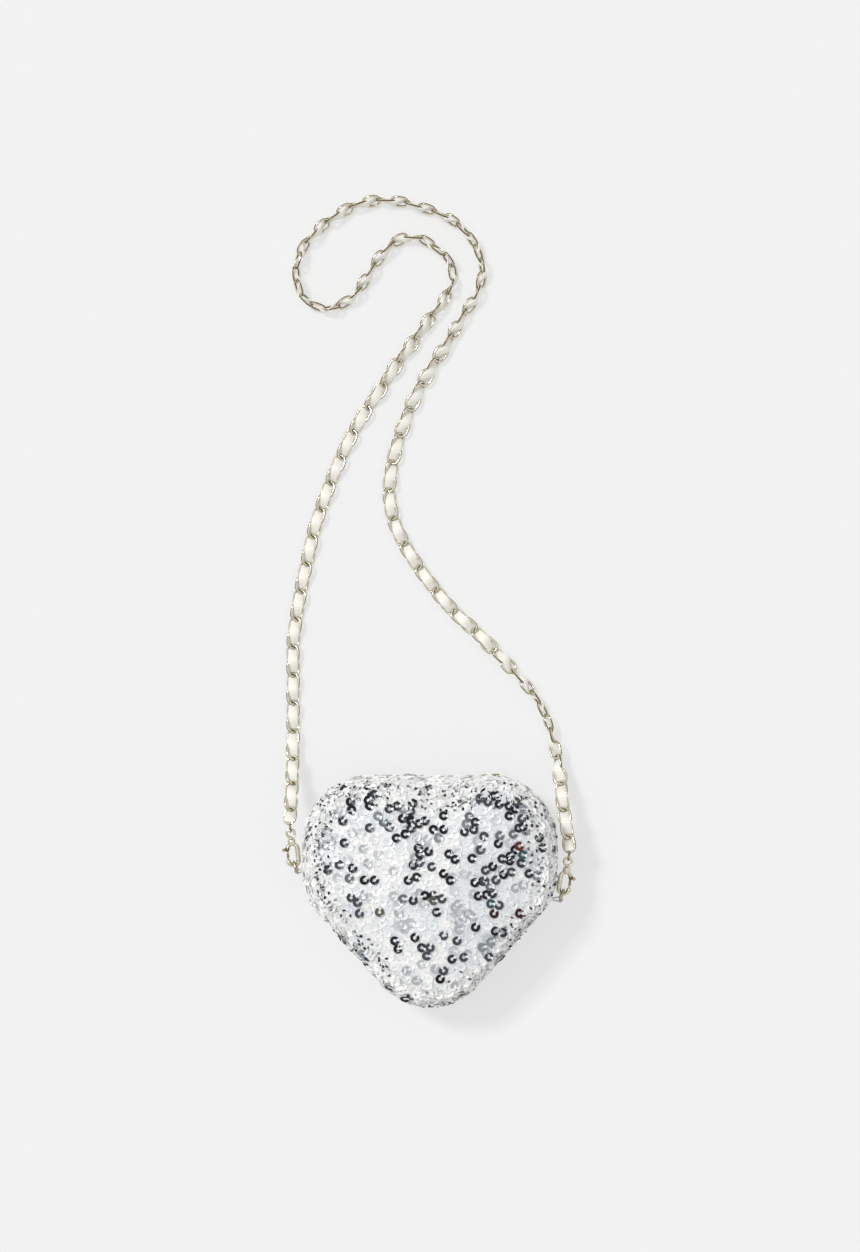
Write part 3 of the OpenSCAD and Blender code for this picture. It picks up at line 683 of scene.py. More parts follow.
# %% Shape of a snap hook
HOOK_W = 8 * MM
CLAW_L = 15 * MM
CLAW_BAR = 1.9 * MM
CLAW_SWELL = 0.45
HOOK_T = 3 * MM
NOSE_UP = 5.4 * MM
HINGE_UP = 11.4 * MM
HUB_R = 1.35 * MM
CHEEK_T = 0.5 * MM
CHEEK_Z = 1.2 * MM
STEM_R = 2.2 * MM
STEM_TOP = 17.05 * MM
EYE_UP = 20.55 * MM
EYE_R = 2.45 * MM
EYE_WIRE, EYE_TALLER = 0.72 * MM, 1.25
RING_UP = 23.9 * MM
CHAMFER = 0.4 * MM
CHAMFER_SHARE = 0.8
NECK_R, NECK_IN, NECK_OUT = 0.85 * MM, 1.8 * MM, 0.15 * MM
COLLAR_R, COLLAR_LOW, COLLAR_HIGH = 1.4 * MM, 0.2 * MM, 0.8 * MM
EYE_ROOT_R = 0.9 * MM
LATHE_STEPS = 20


def hook_matrix(side):
    """Carries a hook's own plane to its place: +Y to the ring, and the gate outwards."""
    along = hook_axis(side)
    across = Vector((SIDE[side] * along.y, -SIDE[side] * along.x, 0))
    return place_at(middle(f"end_ring_{side}") - along * RING_UP, across, along, Z)


def lathe(bm, profile):
    """Turns a profile of radius and height about the Y axis."""
    angles = [2 * math.pi * k / LATHE_STEPS for k in range(LATHE_STEPS)]
    skin(bm, [[Vector((r * math.cos(a), y, r * math.sin(a))) for a in angles] for r, y in profile])


def hook_piece(bm, name, side, stands_for):
    """Carries a piece of a hook to its side, and hands it over."""
    bmesh.ops.transform(bm, matrix=hook_matrix(side), verts=bm.verts)
    bmesh.ops.recalc_face_normals(bm, faces=bm.faces)
    piece = smooth_piece(f"{name}_{side}", bm, rod_gold)
    hand_over(piece, "strap", f"{stands_for}_{side}")


def claw_path():
    """The middle of the claw's rod, from its nose round the bottom and back over the hinge."""
    radius = (HOOK_W - CLAW_BAR) / 2
    low, high = HOOK_W / 2, CLAW_L - HOOK_W / 2
    nose = [Vector((radius, NOSE_UP - CLAW_BAR / 2, 0))]
    bottom = round_corner((0, low), radius, 0, -180, steps=12)
    top = round_corner((0, high), radius, 180, 20, steps=11)
    return nose + bottom + top


def claw_swell(point):
    """The claw is thickest at its sides, and thin where the ring hangs and under the stem."""
    return 1 + CLAW_SWELL * min(1, abs(point.x) / (HOOK_W - CLAW_BAR) * 2) ** 2


print("hook", round(RING_UP / MM, 1), "mm from its tip to its ring")

# %% [markdown]
# Each hook has two pieces here. One is the claw's rod with its stem and the two round cheeks of the
# hinge. The other is the eye, with the collar and neck that hold it in the stem. All that is round
# about the hook's own line is turned, as on a lathe.

# %% Snap hooks
for side in SIDE:
    bm = bmesh.new()
    skin(bm, wire(claw_path(), CLAW_BAR / 2, HOOK_T / 2 / (1 + CLAW_SWELL / 2), Z, sides=14,
                  swell=claw_swell))
    lathe(bm, [(0, CLAW_L - CLAW_BAR), (STEM_R * CHAMFER_SHARE, CLAW_L - CLAW_BAR),
               (STEM_R, CLAW_L - CLAW_BAR / 2), (STEM_R, STEM_TOP - CHAMFER),
               (STEM_R * CHAMFER_SHARE, STEM_TOP), (0, STEM_TOP)])
    for face in (-1, 1):
        cheek = bmesh.ops.create_cone(bm, cap_ends=True, segments=18, radius1=HUB_R, radius2=HUB_R,
                                      depth=CHEEK_T)
        spot = Vector(((HOOK_W - CLAW_BAR) / 2, HINGE_UP, face * CHEEK_Z))
        bmesh.ops.translate(bm, verts=cheek["verts"], vec=spot)
    hook_piece(bm, "claw", side, "hook")

    bm = bmesh.new()
    lathe(bm, [(0, STEM_TOP - NECK_IN), (NECK_R, STEM_TOP - NECK_IN), (NECK_R, STEM_TOP + NECK_OUT),
               (COLLAR_R, STEM_TOP + COLLAR_LOW), (COLLAR_R, STEM_TOP + COLLAR_HIGH),
               (EYE_ROOT_R, EYE_UP - EYE_R), (0, EYE_UP - EYE_R)])
    eye = round_corner((0, EYE_UP), EYE_R, 0, 345, steps=23)
    skin(bm, wire(eye, EYE_WIRE, EYE_WIRE * EYE_TALLER, Z, sides=8, closed=True))
    hook_piece(bm, "swivel", side, "hook_swivel")
print("snap hooks 2")

# %% [markdown]
# The chain has one real length from ring to ring, and it lies loose.
# The line that the links follow is its centreline.

print("strap length", round(strap_long, 3), "m")

# %% [markdown]
# The purse's outline is made of rounds: two lobes, two hips and the tip, joined by the straight
# lines that touch them. Its top is flat, and dips between the lobes at the seams only. The packed
# model draws it in coarse steps, and here the same rounds are cut finely, so the cloth looks soft.

# %% Outline of the heart
gusset_low, gusset_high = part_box("lower_gusset")
BODY_W = gusset_high.x - gusset_low.x
BODY_H = -2 * gusset_low.y
HALF_H = BODY_H / 2
BACK_SEAM, FRONT_SEAM = gusset_low.z, gusset_high.z
MID_Z = (BACK_SEAM + FRONT_SEAM) / 2
GUSSET_HALF = (FRONT_SEAM - BACK_SEAM) / 2
LOBE_R, HIP_R, TIP_R = 41 * MM, 38 * MM, 40 * MM
HIP_UP = 82 * MM
BULGE = 9 * MM
DIP, DIP_HALF = 7 * MM, 42 * MM
TOP_STEPS, LOBE_STEPS, HIP_STEPS, TIP_STEPS, SIDE_STEPS = 16, 24, 10, 16, 20
LOBE = Vector((BODY_W / 2 - LOBE_R, BODY_H - LOBE_R))
HIP = Vector((BODY_W / 2 - HIP_R, HIP_UP))
TIP = Vector((0, TIP_R))


def touch_angle(c1, r1, c2, r2):
    """The direction, in degrees, from two rounds' centres to the line that touches them both."""
    apart = c1 - c2
    return math.degrees(math.atan2(apart.y, apart.x) - math.acos((r2 - r1) / apart.length))


LOBE_HIP = touch_angle(LOBE, LOBE_R, HIP, HIP_R)
HIP_TIP = touch_angle(HIP, HIP_R, TIP, TIP_R)


def half_outline(inset):
    """The right half of the outline, drawn in by a distance, from the top's middle to the tip."""
    lobe_r, hip_r, tip_r = LOBE_R - inset, HIP_R - inset, TIP_R - inset
    top = [Vector((LOBE.x * k / TOP_STEPS, BODY_H - inset, 0)) for k in range(TOP_STEPS)]
    lobe = round_corner(LOBE, lobe_r, 90, LOBE_HIP, LOBE_STEPS)
    hip = round_corner(HIP, hip_r, LOBE_HIP, HIP_TIP, HIP_STEPS)
    tip = round_corner(TIP, tip_r, HIP_TIP, -90, TIP_STEPS)
    side = [hip[-1].lerp(tip[0], k / SIDE_STEPS) for k in range(1, SIDE_STEPS)]
    return top + lobe + hip[1:] + side + tip


def dip(x):
    """How far the top's seams dip between the lobes."""
    return DIP * (1 + math.cos(math.pi * x / DIP_HALF)) / 2 if abs(x) < DIP_HALF else 0


def outline(inset, dip_share):
    """The whole outline, clockwise, with a share of the dip."""
    half = half_outline(inset)
    whole = half + [Vector((-p.x, p.y, 0)) for p in half[-2:0:-1]]
    return [Vector((p.x, p.y - dip_share * (dip(p.x) if p.y > HALF_H else 0) - HALF_H, 0)) for p in whole]


print("outline", len(outline(0, 0)), "points, body", round(BODY_W, 3), "by", round(BODY_H, 3), "m")

# %% [markdown]
# Panels are shallow crowned sheets. The front swells over its foam, and the back is flat where it
# rests and turns up to its seam. Gusset rings bulge out between the two seams. A little noise moves
# each point outwards, because hand sewn cloth over foam is never quite even. The net of the gusset
# and of the back lies inside the packed shape, which leaves room for the sequins on it.

# %% Surfaces of the body
CLOTH_T = 1.2 * MM
GUSSET_T = 2 * MM
FOAM_T = 2.5 * MM
LINING_T = 0.6 * MM
LAYER_GAP = 0.2 * MM
PART_GAP = 0.3 * MM
CROWN_BASE = FRONT_SEAM + PART_GAP + CLOTH_T
CROWN_H = 5.5 * MM
CROWN_POWER = 2.4
FLAT_SHARE = 0.72
DISH_RISE = 3.5 * MM
UNEVEN = 0.5 * MM
UNEVEN_PER_METRE = 55
EVEN_RIM = 8
SHEET_STEPS = 18
NET_IN = 1.2 * MM
BACK_NET_IN = 0.9 * MM


def uneven(point):
    return (noise.noise(point * UNEVEN_PER_METRE) + 1) / 2 * UNEVEN


def panel_ring(share, front, drop):
    """A ring of a panel at a share of its seam outline, at a depth below its outer face."""
    if front:
        level = CROWN_BASE + CROWN_H * (1 - share ** CROWN_POWER) - drop
    else:
        level = DISH_RISE * (max(0, share - FLAT_SHARE) / (1 - FLAT_SHARE)) ** 2 + drop
    ring = [Vector((p.x * share, p.y * share, level)) for p in outline(BULGE, 1)]
    if front and drop == 0:
        ring = [p + Z * uneven(p) * (1 - share ** EVEN_RIM) for p in ring]
    return ring


def bulge_in(u):
    """How far the gusset is drawn in from the widest line at a level from -1 to 1."""
    return BULGE * (1 - math.sqrt(max(0, 1 - u * u)))


def gusset_ring(u, depth):
    return [Vector((p.x, p.y, MID_Z + GUSSET_HALF * u)) for p in outline(bulge_in(u) + depth, u * u)]


def layer_rings(front, reach, drop, thick):
    """A panel, foam or lining: out along its outer face, and back along its inner."""
    shares = [reach * k / SHEET_STEPS for k in range(SHEET_STEPS + 1)]
    return ([panel_ring(f, front, drop) for f in shares]
            + [panel_ring(f, front, drop + thick) for f in reversed(shares)])


print("crown", round((CROWN_BASE + CROWN_H) * 1000, 1), "mm")

# %% [markdown]
# Sequins are sewn to a white net, which shows as fine white mesh between them. The lining is ivory
# satin, whose long floats give it a soft sheen with faint ribs. The foam is hidden, but it is
# seen when the purse is taken apart, so it has its pores.

# %% Cloth finishes
RIB_SHARE = 0.3

net = Finish("white_net", Roughness=0.8, Sheen_Weight=0.3)
shade = net.noise(per_metre=90, detail=3)
net.colour(shade, (0.86, 0.87, 0.88, 1), (0.95, 0.95, 0.94, 1))
net.bump(net.cells(per_metre=1100), deep=0.25 * MM)

satin = Finish("ivory_satin", Roughness=0.38, Sheen_Weight=0.4, Anisotropic=0.4)
folds = satin.noise(per_metre=35, detail=3)
satin.colour(folds, (0.88, 0.85, 0.78, 1), (0.96, 0.94, 0.88, 1))
ribs = satin.rows(per_metre=420, direction="DIAGONAL", Distortion=1.5, Detail=2)
satin.bump(ribs * RIB_SHARE + folds, deep=0.3 * MM)

foam = Finish("foam", Roughness=0.95)
pores = foam.cells(per_metre=900)
foam.colour(pores, (0.78, 0.74, 0.60, 1), (0.92, 0.90, 0.80, 1))
foam.bump(pores, deep=0.4 * MM)

tape_weave = Finish("zip_tape", Roughness=0.75, Sheen_Weight=0.2)
shade = tape_weave.noise(per_metre=300)
tape_weave.colour(shade, (0.82, 0.79, 0.71, 1), (0.92, 0.90, 0.84, 1))
twill = tape_weave.rows(per_metre=500, direction="DIAGONAL", Distortion=0.5)
tape_weave.bump(twill, deep=0.15 * MM)

loop_cloth = Finish("loop_cloth", Roughness=0.6, Sheen_Weight=0.3)
shade = loop_cloth.noise(per_metre=500)
loop_cloth.colour(shade, (0.88, 0.875, 0.86, 1), (0.96, 0.955, 0.94, 1))
loop_cloth.bump(loop_cloth.rows(per_metre=350, Distortion=0.4), deep=0.15 * MM)
print("cloth finishes 5")

# %% [markdown]
# Each layer of the body is its own piece, as in the real purse: outer cloth, foam and lining, front
# and back. In the real purse the front half tilts when the mouth opens; here it rides on the front body.

# %% Panels, foam and linings
FOAM_REACH, LINING_REACH = 0.94, 0.96
FOAM_DROP = CLOTH_T + LAYER_GAP
LINING_DROP = FOAM_DROP + FOAM_T + LAYER_GAP

for half, front in (("front", True), ("back", False)):
    net_drop = 0 if front else BACK_NET_IN
    layers = [("panel", "sequin_cloth", net, 1, net_drop, CLOTH_T - net_drop),
              ("foam", "foam", foam, FOAM_REACH, FOAM_DROP, FOAM_T),
              ("lining", "lining", satin, LINING_REACH, LINING_DROP, LINING_T)]
    for layer, slot, finish, reach, drop, thick in layers:
        piece = skin_piece(f"{half}_{layer}_cloth", finish, [layer_rings(front, reach, drop, thick)],
                           f"purse_{half}", f"{half}_{layer}")
print("layers 6")

# %% [markdown]
# The gusset is the band that joins the two panels. It runs from one end of the mouth round the tip
# to the other end. When the mouth opens, its front edge goes with the front panel and its back edge
# stays; here its place is only baked into its mesh, on neither body.

# %% Gusset
STRIP_HALF = 49 * MM
MOUTH_HALF = 46.6 * MM
SLOT_HALF = 4.8 * MM
GUSSET_STEPS = 20
LINING_BAND = 0.86

# Levels from -1 to 1, closer together near the seams, where the band curves most.
gusset_levels = [math.sin(math.pi / 2 * (2 * k / GUSSET_STEPS - 1)) for k in range(GUSSET_STEPS + 1)]


def gusset_rows(depth, reach=1):
    """Rows across the band, one for each place round the outline below the mouth's ends."""
    rings = [gusset_ring(u * reach, depth) for u in gusset_levels]
    kept = [i for i, p in enumerate(rings[GUSSET_STEPS // 2])
            if not (p.y > 0 and abs(p.x) < STRIP_HALF + PART_GAP)]
    return [[ring[i] for ring in rings] for i in kept]


def band_rings(depth, thick, reach=1):
    """The gusset or its lining: out along its outer face, and back along its inner."""
    outer, inner = gusset_rows(depth, reach), gusset_rows(depth + thick, reach)
    return [a + b[::-1] for a, b in zip(outer, inner)]


def span_mouth(piece):
    """Bakes a piece's place into its mesh."""
    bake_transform(piece)


gusset = skin_piece("gusset_cloth", net, [band_rings(NET_IN, GUSSET_T - NET_IN)],
                    stands_for="lower_gusset")
span_mouth(gusset)
span_mouth(skin_piece("gusset_lining_cloth", satin,
                      [band_rings(GUSSET_T + PART_GAP, LINING_T, LINING_BAND)],
                      stands_for="gusset_lining"))
print("gusset", len(gusset.data.polygons), "faces")

# %% [markdown]
# Two strips close the top, one on each side of the zip. Each runs from its seam up over the bulge
# to the slot, and there its edge is folded down to the zip's tape.

# %% Top strips
FOLD_T = 1.6 * MM
STRIP_IN = 0.5 * MM
TAPE_T = 0.8 * MM
ZIP_SUNK = 5.6 * MM
TEETH_Y = HALF_H - ZIP_SUNK
TAPE_Y = TEETH_Y - TAPE_T / 2
STRIP_STEPS, STRIP_UP_STEPS = 48, 12


def top_y(x, inset):
    """The height of the top's outline at x, drawn in by a distance."""
    past = max(0, abs(x) - LOBE.x)
    return LOBE.y - HALF_H + math.sqrt((LOBE_R - inset) ** 2 - past ** 2)


def strip_point(x, u, depth, side):
    up = top_y(x, bulge_in(u) + depth) - u * u * dip(x)
    return Vector((x, up, MID_Z + side * u * GUSSET_HALF))


slot_angle = math.asin(SLOT_HALF / GUSSET_HALF)
strip_levels = [math.sin(a) for a in steps_between(slot_angle, math.pi / 2, STRIP_UP_STEPS)]


def strip_section(x, side):
    """Out along the bulge to the seam, back along the inside, and down the folded edge."""
    inner = [u for u in strip_levels if u * GUSSET_HALF > SLOT_HALF + FOLD_T]
    fold = [Vector((x, TAPE_Y + TAPE_T, MID_Z + side * (SLOT_HALF + FOLD_T))),
            Vector((x, TAPE_Y + TAPE_T, MID_Z + side * SLOT_HALF))]
    return ([strip_point(x, u, STRIP_IN, side) for u in strip_levels]
            + [strip_point(x, u, GUSSET_T, side) for u in reversed(inner)] + fold)


strip_xs = [STRIP_HALF * (2 * k / STRIP_STEPS - 1) for k in range(STRIP_STEPS + 1)]
for half, side in (("front", 1), ("back", -1)):
    skin_piece(f"top_strip_{half}", net, [[strip_section(x, side) for x in strip_xs]],
               f"purse_{half}", f"top_gusset_{half}")
print("top strips 2")

# %% [markdown]
# Inside the mouth, each strip has its lining, and each row of teeth its woven tape. The tape has a
# rounded bead along the edge that the teeth grip, and its other edge is sewn under the strip. A tab
# of the same tape closes each end of the slot.

# %% Mouth linings and zip tapes
TAPE_IN, TAPE_OUT = 2.3 * MM, 8.8 * MM
TAPE_THIN = 0.7
TAPE_STEPS, MOUTH_STEPS = 40, 8
TAPE_SECTION = [(0, TAPE_IN), (0, TAPE_OUT), (TAPE_THIN, TAPE_OUT), (TAPE_THIN, TAPE_IN + TAPE_T),
                (1, TAPE_IN + TAPE_T / 2), (1, TAPE_IN)]
TAB_SECTION = [(0, PART_GAP / 2), (0, TAPE_OUT), (1, TAPE_OUT), (1, PART_GAP / 2)]
MOUTH_LINING_DEPTH = GUSSET_T + PART_GAP + LAYER_GAP

for half, side in (("front", 1), ("back", -1)):
    first = (TAPE_OUT + PART_GAP) / GUSSET_HALF
    levels = steps_between(first, LINING_BAND, MOUTH_STEPS)
    lining = [[strip_point(x, u, MOUTH_LINING_DEPTH, side) for u in levels]
              + [strip_point(x, u, MOUTH_LINING_DEPTH + LINING_T, side) for u in reversed(levels)]
              for x in strip_xs]
    skin_piece(f"mouth_lining_{half}_cloth", satin, [lining], f"purse_{half}",
               f"mouth_lining_{half}")

    tape_xs = [MOUTH_HALF * (2 * k / TAPE_STEPS - 1) for k in range(TAPE_STEPS + 1)]
    tab_xs = [MOUTH_HALF + PART_GAP / 2, STRIP_HALF + PART_GAP]
    runs = [(TAPE_SECTION, tape_xs)] + [(TAB_SECTION, [end * x for x in tab_xs]) for end in (-1, 1)]
    tapes = [[[Vector((x, TAPE_Y + up * TAPE_T, MID_Z + side * z)) for up, z in section] for x in xs]
             for section, xs in runs]
    skin_piece(f"tape_{half}", tape_weave, tapes, f"purse_{half}", f"zip_tape_{half}")
print("mouth linings 2, tapes 2")

# %% [markdown]
# A slip pocket lies on the back lining. It is a flat piece of the same satin with a turned hem
# along its top and rounded lower corners.

# %% Slip pocket
pocket_low, pocket_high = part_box("slip_pocket")
POCKET_T = LINING_T * 0.9
POCKET_ROWS, POCKET_COLUMNS = 14, 18
PINCH, PINCH_HEIGHTS = 0.08, 5
HEM_T, HEM_FROM = 0.12 * MM, 0.86

sections = []
for k in range(POCKET_ROWS + 1):
    v = k / POCKET_ROWS
    y = pocket_low.y + (pocket_high.y - pocket_low.y) * v
    narrow = 1 - PINCH * max(0, 1 - v * PINCH_HEIGHTS) ** 2
    top = pocket_low.z + POCKET_T + (HEM_T if v > HEM_FROM else 0)
    xs = [(pocket_low.x + (pocket_high.x - pocket_low.x) * c / POCKET_COLUMNS) * narrow
          for c in range(POCKET_COLUMNS + 1)]
    sections.append([Vector((x, y, top)) for x in xs]
                    + [Vector((x, y, pocket_low.z)) for x in reversed(xs)])
skin_piece("slip_pocket_cloth", satin, [sections], "purse_back", "slip_pocket")
print("pocket", round((pocket_high.x - pocket_low.x) * 1000), "mm wide")

# %% [markdown]
# Folded cloth loops hold the D-rings. Each is a flat tape that comes out of the side, goes round the
# ring's bar and back. It twists as the strap is lifted; here its place is only baked into its mesh.

# %% Strap loops
LOOP_HALF_T = 0.45 * MM
BAR_R, BAR_GAP = 0.9 * MM, 0.15 * MM
LOOP_TURN = range(110, -111, -20)
ROOT_APART = 1.3

for side, sign in SIDE.items():
    low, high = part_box(f"strap_loop_{side}")
    turn_r = BAR_R + BAR_GAP + LOOP_HALF_T
    outer_r = (high.y - low.y) / 2
    bar_x = (high.x - outer_r) if sign > 0 else (low.x + outer_r)
    root_x = low.x if sign > 0 else high.x
    bar = Vector((bar_x, (low.y + high.y) / 2, MID_Z))
    around = [bar + Vector((sign * math.cos(a), math.sin(a), 0)) * turn_r
              for a in [math.radians(d) for d in LOOP_TURN]]
    upper = Vector((root_x, bar.y + LOOP_HALF_T * ROOT_APART, MID_Z))
    lower = Vector((root_x, bar.y - LOOP_HALF_T * ROOT_APART, MID_Z))
    path = [upper] + around + [lower]
    rings = wire(path, LOOP_HALF_T, (high.z - low.z) / 2, Z, sides=12)
    loop = skin_piece(f"folded_loop_{side}", loop_cloth, [rings],
                      stands_for=f"strap_loop_{side}")
    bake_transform(loop)
print("strap loops 2")

# %% [markdown]
# A sequin is a tiny cup of silvered film, under six millimetres across, with a hole in it. One
# stitch of white thread runs from the hole over the rim. The stitch, and a painted highlight beside
# it, a bright streak painted into the film's colour, make each sequin look like a letter C.

# %% Sequin shapes
SEQUIN_R = 2.8 * MM
THREAD_R = 0.17 * MM
FINE_CUP = [(1.0, 0), (1.6, 0.06), (2.2, 0.17), (2.8, 0.34)]
SMALL_CUP = [(1.0, 0), (1.9, 0.09), (2.8, 0.26)]
STITCH = [(0.4, 0, -0.15), (0.9, 0, 0.2), (2.7, 0, 0.42), (3.05, 0, 0)]
SLIVER = [(1.3, 0), (2.8, 0.15)]
SLIVER_HALF = 25
SLIVER_CUTS = (-1, -0.4, 0.4, 1)
FINE_STEPS, SMALL_STEPS = 20, 10
THREAD_CORNERS = (math.pi / 2, math.pi * 7 / 6, math.pi * 11 / 6)


def cup(bm, profile, angles, wrap):
    """Adds the film of a sequin, or a part of it. Its map runs from -1 to 1 across the whole one."""
    rings = [[Vector((r * math.cos(a), r * math.sin(a), z)) * MM for a in map(math.radians, angles)]
             for r, z in profile]
    skin(bm, rings, wrap=wrap, fill=False)
    uv = bm.loops.layers.uv.active
    for face in bm.faces:
        for loop in face.loops:
            loop[uv].uv = loop.vert.co.x / SEQUIN_R, loop.vert.co.y / SEQUIN_R


def sequin(name, profile, steps):
    """Spins the cup's profile, and lays a stitch from the hole over the rim."""
    bm = bmesh.new()
    cup(bm, profile, [360 * k / steps for k in range(steps)], wrap=True)
    film = len(bm.faces)
    sections = [[Vector(p) * MM + Vector((0, math.cos(a), math.sin(a))) * THREAD_R
                 for a in THREAD_CORNERS] for p in STITCH]
    skin(bm, sections, fill=False)
    bm.faces.ensure_lookup_table()
    for face in bm.faces[film:]:
        face.material_index = 1
    return to_mesh(name, bm)


def sliver(name):
    """The edge of a sequin whose rest is pinched in a seam. It stands on its cut side, along +X."""
    bm = bmesh.new()
    cup(bm, SLIVER, [180 + SLIVER_HALF * k for k in SLIVER_CUTS], wrap=False)
    bmesh.ops.translate(bm, verts=bm.verts, vec=X * SLIVER[0][0] * MM)
    bmesh.ops.rotate(bm, verts=bm.verts, matrix=Matrix.Rotation(math.pi, 3, "Z"))
    return to_mesh(name, bm)


fine_sequin = sequin("fine_sequin", FINE_CUP, FINE_STEPS)
small_sequin = sequin("small_sequin", SMALL_CUP, SMALL_STEPS)
sequin_sliver = sliver("sequin_sliver")
print("sequin faces", [len(mesh.polygons) for mesh in (fine_sequin, small_sequin, sequin_sliver)])

# %% [markdown]
# The film is silver, with a painted highlight: a bright streak painted into its colour beside the
# stitch, where a real cup shows a glint of light. Its map is centred on the hole, so the share of a
# point's distance that lies along the stitch tells how close it is to the streak. Each sequin's
# colour comes from its tint, most of which is painted reflection. Pale film is milky and smooth, and
# the toned film carries painted reflection: its dark tints are what bare mirror looks like when it
# faces something dark.

# %% Sequin finishes
# The colour of the painted highlight, a bright streak beside each stitch.
PAINTED_HIGHLIGHT_COLOUR = (0.90, 0.91, 0.92, 1)
STREAK_EDGE, STREAK_CONTRAST, STREAK_ROUGHER = 0.90, 14, 0.2
NOT_ZERO = 0.0001


def sequin_film(name, metallic, rough, gloss):
    """A film with the sequin's tint, and a painted highlight, a bright streak, beside its stitch."""
    film = Finish(name, Metallic=metallic, Specular_IOR_Level=gloss)
    u, v = film.shape_uv()
    towards = u / (u * u + v * v + NOT_ZERO) ** 0.5
    painted_highlight = towards.above(STREAK_EDGE, STREAK_CONTRAST)
    tint = film.node("Attribute", {"attribute_name": "tint"}, {}, output="Color")
    # Painted highlight: the colour turns near white beside the stitch; the tint is mostly painted
    # reflection.
    film.colour(painted_highlight, tint, PAINTED_HIGHLIGHT_COLOUR)
    film.feed("Roughness", rough + painted_highlight * STREAK_ROUGHER)
    return film


pale_film = sequin_film("pale_sequin_film", metallic=0.12, rough=0.38, gloss=0.5)
# The toned film: its dark and grey tints are painted reflection.
painted_reflection_film = sequin_film("painted_reflection_sequin_film", metallic=0.25, rough=0.24, gloss=0.2)
thread = Finish("white_thread", Roughness=0.7)
thread.colour(thread.rows(per_metre=900), (0.83, 0.84, 0.84, 1), (0.94, 0.94, 0.93, 1))
print("sequin finishes 3")

# %% [markdown]
# Sequins are sown like seeds: many random places are tried on a surface, and one is kept only where
# no earlier one is too near. Small cubes of space, each of which remembers the places in it, make
# that test quick. All draws come from seeded generators, so each run gives the same purse.

# %% Sowing places
def sow(rows, spacing, tries, seed):
    """Random places on a surface given as rows of points, no two closer than the spacing."""
    chance = np.random.default_rng(seed)
    grid = np.array([[list(p) for p in row] for row in rows])
    a, b, c, d = grid[:-1, :-1], grid[:-1, 1:], grid[1:, 1:], grid[1:, :-1]
    triangles = np.concatenate([np.stack([a, b, c], 2), np.stack([a, c, d], 2)]).reshape(-1, 3, 3)
    normals = np.cross(triangles[:, 1] - triangles[:, 0], triangles[:, 2] - triangles[:, 0])
    areas = np.linalg.norm(normals, axis=1)
    triangles, normals, areas = triangles[areas > 0], normals[areas > 0], areas[areas > 0]
    picks = chance.choice(len(areas), tries, p=areas / areas.sum())
    s, t = chance.random((2, tries))
    s, t = np.where(s + t > 1, 1 - s, s), np.where(s + t > 1, 1 - t, t)
    corners = triangles[picks]
    points = (corners[:, 0] + (corners[:, 1] - corners[:, 0]) * s[:, None]
              + (corners[:, 2] - corners[:, 0]) * t[:, None])
    outs = normals[picks] / areas[picks][:, None]
    cells, kept = {}, []
    near = [(i, j, k) for i in (-1, 0, 1) for j in (-1, 0, 1) for k in (-1, 0, 1)]
    for point, out in zip(points, outs):
        cell = tuple(int(v // spacing) for v in point)
        others = [q for i, j, k in near for q in cells.get((cell[0] + i, cell[1] + j, cell[2] + k), ())]
        if all((point[0] - q[0]) ** 2 + (point[1] - q[1]) ** 2 + (point[2] - q[2]) ** 2
               > spacing * spacing for q in others):
            cells.setdefault(cell, []).append(point)
            kept.append((Vector(point), Vector(out)))
    return kept


unit_square = [[Vector((x, y, 0)) for x in (0, 1)] for y in (0, 1)]
print("a square takes", len(sow(unit_square, spacing=0.5, tries=50, seed=1)), "places")

# %% [markdown]
# A sown place is a point, and the direction out of the cloth. A sequin laid there gets a turn for
# its stitch, mostly to the right or up, a small lean, and a height above the cloth. A sliver stands
# up on its cut side instead.

# %% Laying sequins and slivers
SLIVER_LEAN = (0.4, 2.4)
SLIVER_TURN = 0.6
SLIVER_UP = 0.5 * MM
# How far above the cloth each kind of sequin sits, from least to most, in millimetres.
LIFTS = {"pale": (0.1, 0.3), "cool": (0.5, 0.7), "faint": (0.8, 0.95), "dark": (1.0, 1.35),
         "coloured": (1.3, 1.4), "edge": (0.0, 0.3)}
STEEP = 0.5
ANY_WAY, RIGHT_WAY, WAY_SPREAD = 0.2, 0.35, 0.6
HEART = Vector((0, 0, MID_Z))

draw = random.Random(11)


def outwards(out, point):
    return out if out.dot(point - HEART) > 0 else -out


def wander(spread):
    """A short random way, with no direction preferred."""
    return Vector((draw.gauss(0, spread), draw.gauss(0, spread), draw.gauss(0, spread)))


def mostly_right():
    """The way of a stitch: most point to the right or up, and some any way."""
    if draw.random() < ANY_WAY:
        return draw.uniform(-math.pi, math.pi)
    return draw.gauss(RIGHT_WAY, WAY_SPREAD)


def sewn(point, out, lift, lean):
    """The matrix of a sequin: on a point, its stitch some way round, leaning a little at random."""
    up = draw.uniform(*LIFTS[lift]) * MM
    way = mostly_right()
    spin = Vector((math.cos(way), math.sin(way), 0))
    if abs(out.z) < STEEP:
        spin = Z * math.sin(way) + Z.cross(out).normalized() * math.cos(way)
    face = (out + wander(lean)).normalized()
    x_way = (spin - face * spin.dot(face)).normalized()
    return place_at(point + out * up, x_way, face.cross(x_way), face)


def pinched(point, out):
    """The matrix of a sliver: it stands up on a point, turned and leaning at random."""
    side = wander(1)
    side = (side - out * side.dot(out)).normalized()
    up = (out + side * draw.uniform(*SLIVER_LEAN)).normalized()
    face = Matrix.Rotation(draw.uniform(-SLIVER_TURN, SLIVER_TURN), 3, up) @ up.cross(side.cross(out))
    face = (face - up * face.dot(up)).normalized()
    return place_at(point + out * SLIVER_UP, up, face.cross(up), face)


print("heights above the cloth", len(LIFTS))

